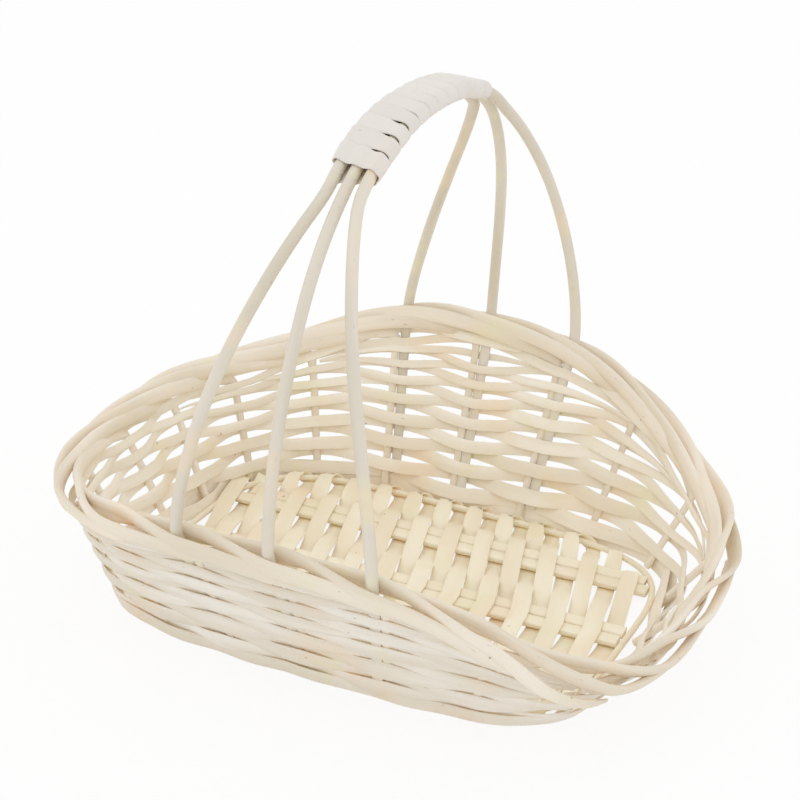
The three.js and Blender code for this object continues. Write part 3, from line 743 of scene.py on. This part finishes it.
def willow(name, shade, colours, finish):
    """Peeled willow: grain along the strand, tinted patches, painted cool shade on the wall splits' outer
    face, leaf scars and a soft sheen.
    """
    material = bpy.data.materials.new(name)
    material.use_nodes = True
    tree = material.node_tree
    tree.nodes.clear()
    start = Wire(tree)
    strand = start.node("ShaderNodeAttribute", {"attribute_name": "strand"}, {}, "Vector")
    spot = start.node("ShaderNodeTexCoord", {}, {}, "Object")
    streaks = strand.cloud(STREAKS)
    fibres = strand.cloud(FIBRES)
    dim = [part * (1.0 - drop * finish.contrast) for part, drop in zip(shade, DIM_DROPS)]
    light = [min(part * (1.0 + gain * finish.contrast), PALEST) for part, gain in zip(shade, LIGHT_GAINS)]
    body = strand.cloud(TONE).shown(TONE).tint(opaque(dim), opaque(light))
    body = streaks.shown(STREAKS).tint(body, opaque(dim))
    warm = spot.cloud(WARM_PATCHES).shown(WARM_PATCHES) * finish.patchiness
    body = warm.tint(body, opaque(colours.warm))
    green = spot.cloud(GREEN_PATCHES).shown(GREEN_PATCHES) * finish.patchiness
    body = green.tint(body, opaque(colours.green))
    # Painted shade: the outer face of each wall split is multiplied by a cool, slightly darker tint,
    # standing in for the shade on the outside of the wall
    painted_shade_share = start.node("ShaderNodeSeparateXYZ", {}, {0: strand}, "Z").between(*BARK_SIDE_SHADE_SPAN) * finish.bark
    body = start.node("ShaderNodeMix", {"data_type": "RGBA", "blend_type": "MULTIPLY"},
                      {0: painted_shade_share, 6: body, 7: opaque(colours.bark)}, 2)
    body = strand.cloud(SPECKS).shown(SPECKS).tint(body, opaque(colours.scar))
    knot_distance = start.node("ShaderNodeTexVoronoi", {},
                               {"Vector": strand.stretched(KNOT_STRETCH), "Scale": 1.0}, "Distance")
    knots = (1.0 - knot_distance.between(*KNOT_SPAN)) * spot.cloud(KNOT_PLACES).shown(KNOT_PLACES)
    body = knots.tint(body, opaque(colours.scar))
    height = streaks * STREAK_RELIEF + fibres * FIBRE_RELIEF
    bump = start.node("ShaderNodeBump", {}, {
        "Strength": finish.grain, "Distance": GRAIN_DEPTH, "Height": height}, "Normal")
    shader = start.node("ShaderNodeBsdfPrincipled", {}, {
        "Base Color": body, "Roughness": finish.roughness - FIBRE_GLOSS * fibres, "Normal": bump,
        "IOR": WILLOW_IOR, "Specular IOR Level": WILLOW_SPECULAR})
    start.node("ShaderNodeOutputMaterial", {}, {"Surface": shader})


def willow_of(scene, kind):
    """The material of one kind of willow, made when it is first needed."""
    name = f"willow_{kind}"
    if name not in bpy.data.materials:
        colours = scene.basket_colours
        willow(name, getattr(colours, kind), colours, FINISHES[kind])
    return bpy.data.materials[name]


def border_offset(plan, space, turn):
    """How far out of the wall and above its rim a border stroke lies, a number of stake spaces along."""
    stakes = plan.stakes
    past = space - stakes.top_at
    inward = ease(space, *TUCK_SPAN)
    across = ease(past, -stakes.crossing, stakes.crossing)
    slack = math.exp(-((turn % 1.0 - stakes.slack_at) / SLACK_SPREAD) ** 2) * ease(space, *SLACK_SPAN)
    outward = plan.border_reach * (2.0 * across - inward) + stakes.slack_reach * slack
    rise = plan.border_lift * (stakes.peak - math.hypot(past, stakes.rounding)) - stakes.slack_drop * slack
    return outward, rise


def stake_line(plan, stake):
    """A stake's middle line: up the wall, over the bend, along inside, across the top and down outside."""
    stakes = plan.stakes
    turn = plan.stake_turn(stake)
    start = plan.wall(turn)
    bend_start = start.height + border_offset(plan, 0.0, turn)[1] - BEND_BELOW * stakes.diameter
    points = [wall_point(start, distance) for distance in (-stakes.foot_drop, bend_start / 2.0, bend_start)]
    points.append(wall_point(start, bend_start + stakes.diameter, 0.0, BEND_LEAN * stakes.diameter))
    for step in range(STROKE_STEPS + 1):
        space = mix(STROKE_START, stakes.stroke, step / STROKE_STEPS)
        place = turn + space / stakes.stakes
        wall = plan.wall(place)
        outward, rise = border_offset(plan, space, place)
        points.append(wall_point(wall, wall.height + rise, outward))
    return even_line(rounded_line(points, CORNER_CUTS), STAKE_STEP), bend_start


def swaying(points, waver, seed):
    """Moves a line's points a little, as grown rods are never quite straight."""
    noise.seed_set(SWAY_SEED)
    row = waver.seed + seed
    travelled = 0.0
    moved = []
    for index, point in enumerate(points):
        if index:
            travelled += (point - points[index - 1]).length
        place = Vector((travelled * waver.pace, row * SWAYS_APART[0], row * SWAYS_APART[1]))
        moved.append(point + noise.noise_vector(place) * waver.reach)
    return moved


class BASKET_OT_stakes(Operator):
    """Draws the upright stakes, each bent over at the top into its stroke of the rope border"""
    bl_idname = "basket.stakes"
    bl_label = "Stakes and border"

    def execute(self, context):
        plan = Plan(context.scene)
        stakes = plan.stakes
        material = willow_of(context.scene, "stake")
        radius = stakes.diameter * stakes.fullness / 2.0
        for stake in range(stakes.stakes):
            line, upright = stake_line(plan, stake)
            points = swaying(line, STAKE_SWAY, stake)
            turn = plan.stake_turn(stake)
            sides = carried_sides(points, plan.wall(turn).out)
            flatness = min(plan.flatness(turn), 1.0)
            last = len(points) - 1
            stations = []
            for index, (point, side) in enumerate(zip(points, sides)):
                bent = ease(index * STAKE_STEP - upright, *BEND_SPAN)
                girth = 1.0 + wander(STAKE_GIRTH, stake, index)
                girth *= mix(*STAKE_TAPER, index / last)
                girth *= 1.0 - TIP_TAPER * ease(index, last - TIP_STEPS, last)
                facing = ease(point.y / plan.outline.rim_half_width, *BORDER_FRONT_TO_BACK)
                stroke = mix(stakes.front_stroke, stakes.back_stroke, facing)
                stroke *= mix(1.0, stakes.outer_stroke, ease(index / last, *OUTER_SPAN))
                shallow = mix(stakes.front_depth, stakes.back_depth, facing)
                depth = mix(radius * flatness, shallow / 2.0, bent) * girth
                height = mix(radius, stroke / 2.0, bent) * girth
                stations.append(Station(point, side, depth, height))
            strand = draw_strand(stations, STAKE_CORNERS, round_section, stake * STAKE_GRAIN)
            place_piece(f"stake_{stake + 1:02d}", strand, material)
        return {"FINISHED"}


def tail_stop(plan, stop, stake, direction):
    """The thin end of a packing row, most of a stake space past its last post and near the seam above it."""
    rows = plan.rows
    total = plan.row_counts[(stake + direction) % plan.stakes.stakes]
    seam = (total - rows.upper_rounds) / total
    turn = stop.turn + direction * rows.tail / plan.stakes.stakes
    share = mix(stop.share, seam, rows.tail)
    return stop._replace(turn=turn, outward=0.0, share=share, width=rows.tail_width)


def row_stations(plan, run, order, phase, closed, seed):
    """Stations of one split woven past a run of posts; order gives its number among a stake's rows."""
    rows = plan.rows
    stops = []
    for post in run:
        way = 1.0 if (post.stake + phase) % 2 == 0 else -1.0
        share = (order(post.stake) + 0.5) / plan.row_counts[post.stake]
        outward = way * (post.radius + plan.outline.clearance + rows.crown / 2.0)
        width = plan.row_width(post.stake, order(post.stake))
        stops.append(Stop(plan.stake_turn(post.stake) + post.lap, post.beside, outward, share, width))
    if closed:
        stops.append(stops[0]._replace(turn=stops[0].turn + 1.0))
    else:
        stops.insert(0, tail_stop(plan, stops[0], run[0].stake, -1))
        stops.append(tail_stop(plan, stops[-1], run[-1].stake, 1))
    stations = []
    for stop, following in zip(stops, stops[1:]):
        span = (following.turn - stop.turn) * plan.rim.length + following.beside - stop.beside
        steps = max(2, round(span / ROW_STEP))
        crossing = 1.0 if stop.outward * following.outward < 0.0 else 0.0
        for step in range(steps):
            stations.append(row_station(plan, stop, following, step / steps, crossing, seed))
    if not closed:
        stations.append(row_station(plan, stops[-2], stops[-1], 1.0, 0.0, seed))
    return stations


def row_station(plan, stop, following, share, crossing, seed):
    """One station of a woven split, between two of the posts that it passes."""
    rows = plan.rows
    turn = mix(stop.turn, following.turn, share)
    wall = plan.wall(turn)
    height = mix(stop.share, following.share, share)
    spread = plan.row_spread(height)
    early = 2.0 ** wander(ROW_EARLY, seed, stop.turn)
    outward = mix(stop.outward, following.outward, ease(share ** early, *CROSSING_SPAN))
    facing = plan.facing(turn)
    uneven = rows.front_uneven * (1.0 - facing)
    level = rows.first_lift + spread * plan.row_room(wall)
    level += wander(ROW_LEVEL, seed, turn) + uneven * wander(FRONT_LEVEL, seed, turn)
    level -= rows.end_drop * plan.at_end(turn) * (1.0 - spread)
    stagger = mix(rows.front_stagger, rows.stagger, facing)
    level += stagger * max(-1.0, min(outward / plan.stakes.diameter * 2.0, 1.0))
    point = wall_point(wall, level, outward, mix(stop.beside, following.beside, share))
    fullness = mix(rows.front_fullness, rows.back_fullness, facing)
    fullness *= 1.0 - CROSSING_PINCH * crossing * math.sin(math.pi * share) * (1.0 - facing)
    open_lattice = ease(math.cos(2.0 * math.pi * turn), *END_SPAN) * ease(spread, *LATTICE_RISE)
    fullness *= mix(1.0, rows.right_fullness, open_lattice)
    fullness *= 1.0 + TOP_SWELL * ease(height, *TOP_SPAN)
    width = mix(stop.width, following.width, share) * fullness
    width *= 1.0 + wander(ROW_WIDTH, seed, turn) + uneven * wander(FRONT_WIDTH, seed, turn)
    roll = wander(ROW_ROLL, seed, turn) + uneven * wander(FRONT_ROLL, seed, turn)
    roll -= rows.front_lap * (1.0 - facing)
    side = wall.slope * math.cos(roll) + wall.out * math.sin(roll)
    return Station(point, side, width / 2.0, rows.crown / 2.0)


def packing_runs(plan, row):
    """The unbroken runs of posts that a packing row passes."""
    rows = plan.rows
    total = plan.stakes.stakes
    full = rows.lower_rounds + rows.upper_rounds
    crosses = [rows_there - full > row for rows_there in plan.row_counts]
    start = crosses.index(False) if False in crosses else -1
    runs = [[]]
    for step in range(1, total + 1):
        stake = (start + step) % total
        if crosses[stake]:
            runs[-1].append((stake, 1 if start + step >= total else 0))
        else:
            runs.append([])
    posts = plan.posts()
    return [[post._replace(lap=lap) for stake, lap in run for post in posts if post.stake == stake]
            for run in runs if len(run) > 1]


class BASKET_OT_rows(Operator):
    """Weaves the splits of the wall: full rounds below and above, and packing rows between"""
    bl_idname = "basket.rows"
    bl_label = "Woven wall"

    def execute(self, context):
        plan = Plan(context.scene)
        rows = plan.rows
        posts = plan.posts()
        counts = plan.row_counts
        for turn in range(rows.lower_rounds):
            name = f"lower_round_{turn + 1:02d}"
            self.weave(context, plan, name, posts, lambda stake, at=turn: at, turn, True)
        for turn in range(rows.upper_rounds):
            name = f"upper_round_{turn + 1:02d}"
            self.weave(context, plan, name, posts, lambda stake, at=turn: counts[stake] - 1 - at, turn, True)
        packed = 0
        for row in range(max(counts) - rows.lower_rounds - rows.upper_rounds):
            order = rows.lower_rounds + row
            for run in packing_runs(plan, row):
                packed += 1
                name = f"packing_row_{packed:02d}"
                self.weave(context, plan, name, run, lambda stake, at=order: at, order, False)
        self.foot_round(context, plan)
        return {"FINISHED"}

    def weave(self, context, plan, name, run, order, phase, closed):
        seed = float(sum(name.encode()))
        stations = row_stations(plan, run, order, phase, closed, seed)
        strand = draw_strand(stations, SPLIT_CORNERS, skein_section, seed * ROW_GRAIN, closed)
        place_piece(name, strand, willow_of(context.scene, "split"), SKEIN_CREASE)

    def foot_round(self, context, plan):
        rows = plan.rows
        stations = []
        for step in range(FOOT_STEPS):
            turn = step / FOOT_STEPS
            wall = plan.wall(turn)
            outward = plan.stakes.diameter / 2.0 * plan.flatness(turn) + plan.outline.clearance
            outward += rows.crown + FOOT_BULGE * math.sin(2.0 * math.pi * plan.stakes.stakes * turn)
            point = wall_point(wall, rows.foot_lift + wander(FOOT_SWAY, 0.0, step), outward)
            stations.append(Station(point, wall.slope, rows.foot_width / 2.0, rows.crown / 2.0))
        strand = draw_strand(stations, SPLIT_CORNERS, split_section, FOOT_GRAIN, True)
        place_piece("foot_round", strand, willow_of(context.scene, "split"))


class BASKET_OT_base(Operator):
    """Lays the base: its hoop, the pairs of laths and the wide split woven across them"""
    bl_idname = "basket.base"
    bl_label = "Woven base"

    def execute(self, context):
        plan = Plan(context.scene)
        base = plan.base
        outline = plan.outline
        half_split = base.split_thickness / 2.0
        self.plan = plan
        self.turn_radius = base.hoop_diameter / 2.0 + base.turn_room + half_split
        inset = plan.stakes.diameter / 2.0 + outline.clearance + half_split + self.turn_radius
        half_length = outline.base_half_length - inset
        self.hoop = Oval(half_length, outline.base_half_width - inset, outline.base_roundness)
        self.lift = base.lath_thickness / 2.0 + outline.clearance + half_split
        room = half_length - base.hoop_diameter / 2.0 - base.corner
        self.spaces = math.floor(2.0 * room / base.split_pitch)
        material = willow_of(context.scene, "base")
        self.lay_hoop(material)
        self.lay_laths(material)
        self.lay_weave(material)
        return {"FINISHED"}

    def lay_hoop(self, material):
        radius = self.plan.base.hoop_diameter / 2.0
        stations = []
        for step in range(HOOP_STEPS):
            point = self.hoop.at(step / HOOP_STEPS)
            point.z = self.plan.base_level
            stations.append(Station(point, UP, radius, radius))
        strand = draw_strand(stations, HOOP_CORNERS, round_section, HOOP_GRAIN, True)
        place_piece("base_hoop", strand, material)

    def lay_laths(self, material):
        base = self.plan.base
        inset = base.hoop_diameter / 2.0 + base.lath_end_gap
        room = Oval(self.hoop.half_width - inset, self.hoop.half_length - inset, self.hoop.roundness)
        half_pair = (base.lath_width + base.pair_gap) / 2.0
        places = [pair * base.lath_spacing + way * half_pair for pair in (-1, 0, 1) for way in (-1, 1)]
        for index, across in enumerate(places):
            reach = room.reach(abs(across) + base.lath_width / 2.0)
            stations = []
            for step in range(LATH_STEPS + 1):
                along = mix(-reach, reach, step / LATH_STEPS)
                sway = wander(LATH_SWAY, index, step)
                width = base.lath_width * (1.0 + wander(LATH_GIRTH, index, step))
                point = Vector((along, across + sway + base.lath_slant * along, self.plan.base_level))
                stations.append(Station(point, TOWARDS_FRONT, width / 2.0, base.lath_thickness / 2.0))
            strand = draw_strand(stations, LATH_CORNERS, lath_section, index * LATH_GRAIN)
            place_piece(f"base_lath_{index + 1:02d}", strand, material)

    def pass_place(self, number_of_pass, across):
        """How far along the base a pass lies; the passes slant and fan out towards the front."""
        base = self.plan.base
        middle = (number_of_pass - self.spaces / 2.0) * base.split_pitch + base.shift
        slant = base.slant + base.fan * middle / self.hoop.half_length
        near_end = ease(middle, self.hoop.half_length - END_LENGTH, self.hoop.half_length)
        slant *= 1.0 - END_STRAIGHTENING * near_end
        return middle - slant * (across if across > 0.0 else across * base.front_slant)

    def pass_reach(self, number_of_pass, way):
        """How far a pass goes towards the back or the front before it meets the hoop."""
        reach = self.hoop.half_width
        for _ in range(REACH_ROUNDS):
            along = self.pass_place(number_of_pass, way * reach)
            reach = (reach + self.hoop.reach(abs(along) + self.plan.base.turn_width / 2.0)) / 2.0
        return reach

    def pass_stations(self, number_of_pass, front, back):
        """One pass of the split, over and under the pairs of laths, between two places across the base."""
        base = self.plan.base
        heading = 1.0 if number_of_pass % 2 == 0 else -1.0
        first, last = (front, back) if heading > 0.0 else (back, front)
        stations = []
        for step in range(PASS_STEPS + 1):
            across = mix(first, last, step / PASS_STEPS)
            along = self.pass_place(number_of_pass, across)
            level = heading * self.weave_wave(across - base.lath_slant * along)
            along += wander(PASS_SWAY, number_of_pass, across)
            point = Vector((along, across, self.plan.base_level + level * self.lift))
            end = max(ease(across, back - PASS_TAPER, back), 1.0 - ease(across, front, front + PASS_TAPER))
            width = mix(base.split_width * base.fullness, base.turn_width, end)
            width *= 1.0 + wander(PASS_WIDTH, number_of_pass, across)
            stations.append(Station(point, ALONG, width / 2.0, base.split_thickness / 2.0))
        return stations

    def weave_wave(self, across):
        """+1 where an even pass lies over the laths or the hoop, -1 where it lies under."""
        base = self.plan.base
        flat = base.lath_width + base.pair_gap / 2.0
        marks = [(-1, self.hoop.half_width, 1.0), (-1, base.lath_spacing, -1.0), (0, 0.0, 1.0),
                 (1, base.lath_spacing, -1.0), (1, self.hoop.half_width, 1.0)]
        places = [(way * distance, over) for way, distance, over in marks]
        for (place, over), (following, next_over) in zip(places, places[1:]):
            if across <= following:
                return mix(over, next_over, ease(across, place + flat, following - flat))
        return places[-1][1]

    def turn_stations(self, number_of_pass, way):
        """The half turn round the hoop from one pass to the next."""
        base = self.plan.base
        places = []
        for one in (number_of_pass, number_of_pass + 1):
            places.append(self.pass_place(one, way * self.pass_reach(one, way)))
        stations = []
        for step in range(1, TURN_STEPS):
            share = step / TURN_STEPS
            along = mix(places[0], places[1], share)
            lean = self.hoop.reach(along + HOOP_NUDGE) - self.hoop.reach(along - HOOP_NUDGE)
            side = Vector((2.0 * HOOP_NUDGE, way * lean, 0.0)).normalized()
            out = Vector((-side.y * way, side.x * way, 0.0))
            swing = way * (0.5 - share) * math.pi
            centre = Vector((along, way * self.hoop.reach(along), self.plan.base_level))
            point = centre + (out * math.cos(swing) + UP * math.sin(swing)) * self.turn_radius
            stations.append(Station(point, side, base.turn_width / 2.0, base.split_thickness / 2.0))
        return stations

    def lay_weave(self, material):
        stations = []
        for number_of_pass in range(self.spaces + 1):
            front = -self.pass_reach(number_of_pass, -1.0)
            stations += self.pass_stations(number_of_pass, front, self.pass_reach(number_of_pass, 1.0))
            if number_of_pass < self.spaces:
                stations += self.turn_stations(number_of_pass, 1.0 if number_of_pass % 2 == 0 else -1.0)
        strand = draw_strand(stations, SPLIT_CORNERS, split_section, WEAVE_GRAIN)
        place_piece("base_weave", strand, material)
        reach = self.plan.base.lath_spacing + self.plan.base.lath_width + END_SPLIT_REACH
        for end, number_of_pass in (("left", -1), ("right", self.spaces + 1)):
            stations = self.pass_stations(number_of_pass, -reach, reach)
            strand = draw_strand(stations, SPLIT_CORNERS, split_section, END_GRAIN)
            place_piece(f"base_end_split_{end}", strand, material)


def arch_point(plan, spring, swing):
    handle = plan.handle
    power = 2.0 / handle.fullness
    back = spring.y * max(math.cos(swing), 0.0) ** power
    return Vector((spring.x, back, mix(spring.z, handle.height, math.sin(swing) ** power)))


def spring_point(plan, stake):
    """Where a handle rod leaves the border."""
    wall = plan.wall(plan.stake_turn(stake))
    rise = plan.border_lift * plan.stakes.spring_lift + plan.stakes.diameter / 2.0
    return wall_point(wall, wall.height + rise, 0.0, -plan.pair_offset)


def arch_side(plan, stake, middle_stake, lean):
    """One side of a handle rod: up the wall, out of the border and in towards the middle rod."""
    handle = plan.handle
    wall = plan.wall(plan.stake_turn(stake))
    levels = (handle.foot_lift, wall.height / 2.0, wall.height - plan.rows.border_drop, wall.height)
    points = [wall_point(wall, level, 0.0, -plan.pair_offset) for level in levels]
    spring = spring_point(plan, stake)
    middle = spring_point(plan, middle_stake)
    middle.x = lean * (handle.rod_diameter + handle.rod_gap)
    gather_height = handle.height - handle.gather_drop
    points.append(spring)
    for step in range(1, ARCH_STEPS):
        swing = step / ARCH_STEPS * math.pi / 2.0
        own = arch_point(plan, spring, swing)
        share = min((own.z - spring.z) / (gather_height - spring.z), 1.0)
        points.append(own.lerp(arch_point(plan, middle, swing), share ** handle.gather_power))
    return points


def rod_line(plan, rod):
    """A handle rod's middle line, from its foot in the front wall to its foot in the back wall."""
    handle = plan.handle
    middle = plan.handle_rods[1]
    top = Vector((rod.lean * (handle.rod_diameter + handle.rod_gap), 0.0, handle.height))
    back_side = arch_side(plan, rod.back, middle.back, rod.lean)
    points = arch_side(plan, rod.front, middle.front, rod.lean) + [top] + back_side[::-1]
    return even_line(rounded_line(points, CORNER_CUTS), ROD_STEP)


class BASKET_OT_handle(Operator):
    """Bends the handle rods from wall to wall over the top"""
    bl_idname = "basket.handle"
    bl_label = "Handle rods"

    def execute(self, context):
        plan = Plan(context.scene)
        handle = plan.handle
        material = willow_of(context.scene, "rod")
        grip = handle.height - 2.0 * handle.gather_drop
        for number_of_rod, rod in enumerate(plan.handle_rods):
            line = rod_line(plan, rod)
            moved = swaying(line, ROD_SWAY, number_of_rod)
            points = [point.lerp(swayed, 1.0 - ease(point.z - grip, *GRIP_SPAN))
                      for point, swayed in zip(line, moved)]
            turns = [plan.stake_turn(stake) for stake in (rod.front, rod.back)]
            ends = [plan.wall(turn).height for turn in turns]
            shaved = [handle.shaved * plan.flatness(turn) for turn in turns]
            last = len(points) - 1
            stations = []
            for index, (point, side) in enumerate(zip(points, carried_sides(points, ALONG))):
                radius = handle.rod_diameter / 2.0 * (ROD_FULLNESS + wander(ROD_GIRTH, number_of_rod, index))
                past = min(index * ROD_STEP - ends[0], (last - index) * ROD_STEP - ends[1])
                flat = shaved[0] if index < last / 2 else shaved[1]
                depth = radius * mix(flat, 1.0, ease(past, *SHAVED_SPAN))
                stations.append(Station(point, side, radius, depth))
            strand = draw_strand(stations, ROD_CORNERS, round_section, number_of_rod * ROD_GRAIN)
            place_piece(f"handle_rod_{rod.name}", strand, material)
        return {"FINISHED"}


class BASKET_OT_wrap(Operator):
    """Winds the flat split round the three rods at the grip"""
    bl_idname = "basket.wrap"
    bl_label = "Handle binding"

    def execute(self, context):
        plan = Plan(context.scene)
        handle = plan.handle
        spacing = handle.rod_diameter + handle.rod_gap
        radius = handle.rod_diameter / 2.0 + handle.wrap_room + handle.wrap_thickness / 2.0
        flat = 2.0 * spacing
        lap = 2.0 * flat + 2.0 * math.pi * radius
        line = even_line(rod_line(plan, plan.handle_rods[1]), WRAP_STEP)
        highest = max(range(len(line)), key=lambda index: line[index].z)
        start = highest * WRAP_STEP - handle.wrap_turns * handle.wrap_pitch / 2.0 - handle.wrap_shift
        total = lap * handle.wrap_turns + flat
        steps = handle.wrap_turns * LAP_STEPS
        stations = []
        for step in range(steps + 1):
            share = step / steps
            travel = total * share
            distance = (start + handle.wrap_pitch * travel / lap) / WRAP_STEP
            index = min(int(distance), len(line) - 2)
            centre = line[index].lerp(line[index + 1], distance - index)
            centre.x = 0.0
            along = line[min(index + WRAP_LOOK, len(line) - 1)] - line[index - WRAP_LOOK]
            along = Vector((0.0, along.y, along.z)).normalized()
            above = ALONG.cross(along)
            across, lift, out_across, out_above = self.lap_place(travel, flat, radius, spacing)
            open_side = ease(across / spacing, *OPEN_ACROSS) * ease(out_above, *OPEN_ABOVE)
            open_side *= OPEN_SHARE + wander(WRAP_OPEN, 0.0, travel)
            hem = max(1.0 - ease(share, *HEM_START), ease(share, *HEM_END))
            between_rods = (1.0 - math.cos(2.0 * math.pi * across / spacing)) / 2.0
            swell = wander(WRAP_SWELL, 0.0, travel) - hem * handle.hem_dip * between_rods * abs(out_above)
            out = ALONG * out_across + above * out_above
            across *= 1.0 + handle.wrap_flare * (1.0 - ease(share, *FLARE_SPAN))
            point = centre + ALONG * across + above * lift + out * swell
            width = handle.wrap_width * (1.0 + wander(WRAP_WIDTH, 0.0, travel) - OPEN_PINCH * open_side)
            side = along * math.cos(handle.wrap_lean) + out * math.sin(handle.wrap_lean)
            stations.append(Station(point, side, width / 2.0, handle.wrap_thickness / 2.0))
        strand = draw_strand(stations, WRAP_CORNERS, binding_section, WRAP_GRAIN)
        place_piece("handle_wrap", strand, willow_of(context.scene, "wrap"))
        return {"FINISHED"}

    @staticmethod
    def lap_place(travel, flat, radius, spacing):
        """A place on the oval path round the rods, with its outward direction."""
        half_lap = flat + math.pi * radius
        half = travel % half_lap
        way = 1.0 if math.floor(travel / half_lap) % 2 == 0 else -1.0
        if half <= flat:
            return way * (half - spacing), -way * radius, 0.0, -way
        swing = (half - flat) / radius
        out_across = way * math.sin(swing)
        out_above = -way * math.cos(swing)
        return way * spacing + out_across * radius, out_above * radius, out_across, out_above


class BASKET_OT_stage(Operator):
    """Sets the floor, the soft light and the camera"""
    bl_idname = "basket.stage"
    bl_label = "Stage"

    def execute(self, context):
        stage = context.scene.basket_stage
        context.scene.view_settings.view_transform = "Standard"
        context.scene.cycles.diffuse_bounces = stage.light_bounces
        self.floor(context, stage)
        self.sky(context, stage)
        self.lamp(context, stage)
        self.camera(context, stage)
        return {"FINISHED"}

    @staticmethod
    def seen_directly(start):
        """1 for rays that show the backdrop itself, 0 for those that only carry light."""
        rays = "ShaderNodeLightPath"
        straight = start.node(rays, {}, {}, "Is Camera Ray")
        mirrored = start.node(rays, {}, {}, "Is Glossy Ray")
        through = start.node(rays, {}, {}, "Is Transmission Ray")
        return (straight + mirrored + through).between(0.0, 1.0)

    def floor(self, context, stage):
        plane = bmesh.new()
        bmesh.ops.create_grid(plane, x_segments=1, y_segments=1, size=stage.floor_size)
        mesh = bpy.data.meshes.new("studio_floor")
        plane.to_mesh(mesh)
        plane.free()
        material = bpy.data.materials.new("studio_floor")
        material.use_nodes = True
        material.node_tree.nodes.clear()
        start = Wire(material.node_tree)
        paint = start.node("ShaderNodeBsdfDiffuse", {}, {"Color": opaque(stage.floor)})
        white = start.node("ShaderNodeEmission", {}, {"Color": WHITE, "Strength": 1.0})
        share = self.seen_directly(start) * FLOOR_GLOW
        both = start.node("ShaderNodeMixShader", {}, {0: share, 1: paint, 2: white})
        start.node("ShaderNodeOutputMaterial", {}, {"Surface": both})
        mesh.materials.append(material)
        floor = bpy.data.objects.new("studio_floor", mesh)
        context.scene.collection.objects.link(floor)

    def sky(self, context, stage):
        world = bpy.data.worlds.new("studio_sky")
        world.use_nodes = True
        world.node_tree.nodes.clear()
        start = Wire(world.node_tree)
        light = start.node("ShaderNodeBackground", {}, {"Color": WHITE, "Strength": stage.sky_strength})
        seen = start.node("ShaderNodeBackground", {}, {"Color": WHITE, "Strength": 1.0})
        both = start.node("ShaderNodeMixShader", {}, {0: self.seen_directly(start), 1: light, 2: seen})
        start.node("ShaderNodeOutputWorld", {}, {"Surface": both})
        context.scene.world = world

    def lamp(self, context, stage):
        lamp = bpy.data.lights.new("softbox", "AREA")
        lamp.shape = "RECTANGLE"
        lamp.size, lamp.size_y = LAMP_SIZE
        lamp.energy = stage.key_energy
        holder = bpy.data.objects.new("softbox", lamp)
        holder.location = LAMP_PLACE
        aim = (LAMP_AIM - LAMP_PLACE).to_track_quat("-Z", "Y")
        holder.rotation_euler = aim.to_euler()
        context.scene.collection.objects.link(holder)

    def camera(self, context, stage):
        turn, rise = stage.camera_turn, stage.camera_rise
        back = Vector((math.sin(turn) * math.cos(rise), -math.cos(turn) * math.cos(rise), math.sin(rise)))
        right = (-back).cross(UP).normalized()
        up = right.cross(-back)
        rolled_right = right * math.cos(stage.camera_roll) + up * math.sin(stage.camera_roll)
        rolled_up = up * math.cos(stage.camera_roll) - right * math.sin(stage.camera_roll)
        lens = bpy.data.cameras.new("camera")
        lens.sensor_fit = "HORIZONTAL"
        lens.sensor_width = SENSOR_WIDTH
        lens.lens = stage.focal_pixels * SENSOR_WIDTH / PICTURE_WIDTH
        lens.clip_start = CLIP_START
        holder = bpy.data.objects.new("camera", lens)
        stand = Matrix((rolled_right, rolled_up, back)).transposed().to_4x4()
        stand.translation = Vector(stage.look_at) + back * stage.camera_distance
        holder.matrix_world = stand
        context.scene.collection.objects.link(holder)
        context.scene.camera = holder


OPERATORS = (BASKET_OT_stage, BASKET_OT_stakes, BASKET_OT_rows, BASKET_OT_base, BASKET_OT_handle,
             BASKET_OT_wrap)


class BASKET_PT_sidebar(Panel):
    """Lists the steps that build the basket"""
    bl_idname = "BASKET_PT_sidebar"
    bl_label = "Willow basket"
    bl_space_type = "VIEW_3D"
    bl_region_type = "UI"
    bl_category = "Basket"

    def draw(self, context):
        for operator in OPERATORS:
            self.layout.operator(operator.bl_idname)


SETTINGS = {
    "basket_outline": BasketOutline,
    "basket_stakes": BasketStakes,
    "basket_rows": BasketRows,
    "basket_base": BasketBase,
    "basket_handle": BasketHandle,
    "basket_colours": BasketColours,
    "basket_stage": BasketStage,
}
CLASSES = (*SETTINGS.values(), *OPERATORS, BASKET_PT_sidebar)


def register():
    for kind in CLASSES:
        bpy.utils.register_class(kind)
    for name, group in SETTINGS.items():
        setattr(bpy.types.Scene, name, PointerProperty(type=group))


def unregister():
    for name in SETTINGS:
        delattr(bpy.types.Scene, name)
    for kind in reversed(CLASSES):
        bpy.utils.unregister_class(kind)


def main():
    register()
    bpy.ops.basket.stage()
    bpy.ops.basket.stakes()
    bpy.ops.basket.rows()
    bpy.ops.basket.base()
    bpy.ops.basket.handle()
    bpy.ops.basket.wrap()


if __name__ == "__main__":
    main()
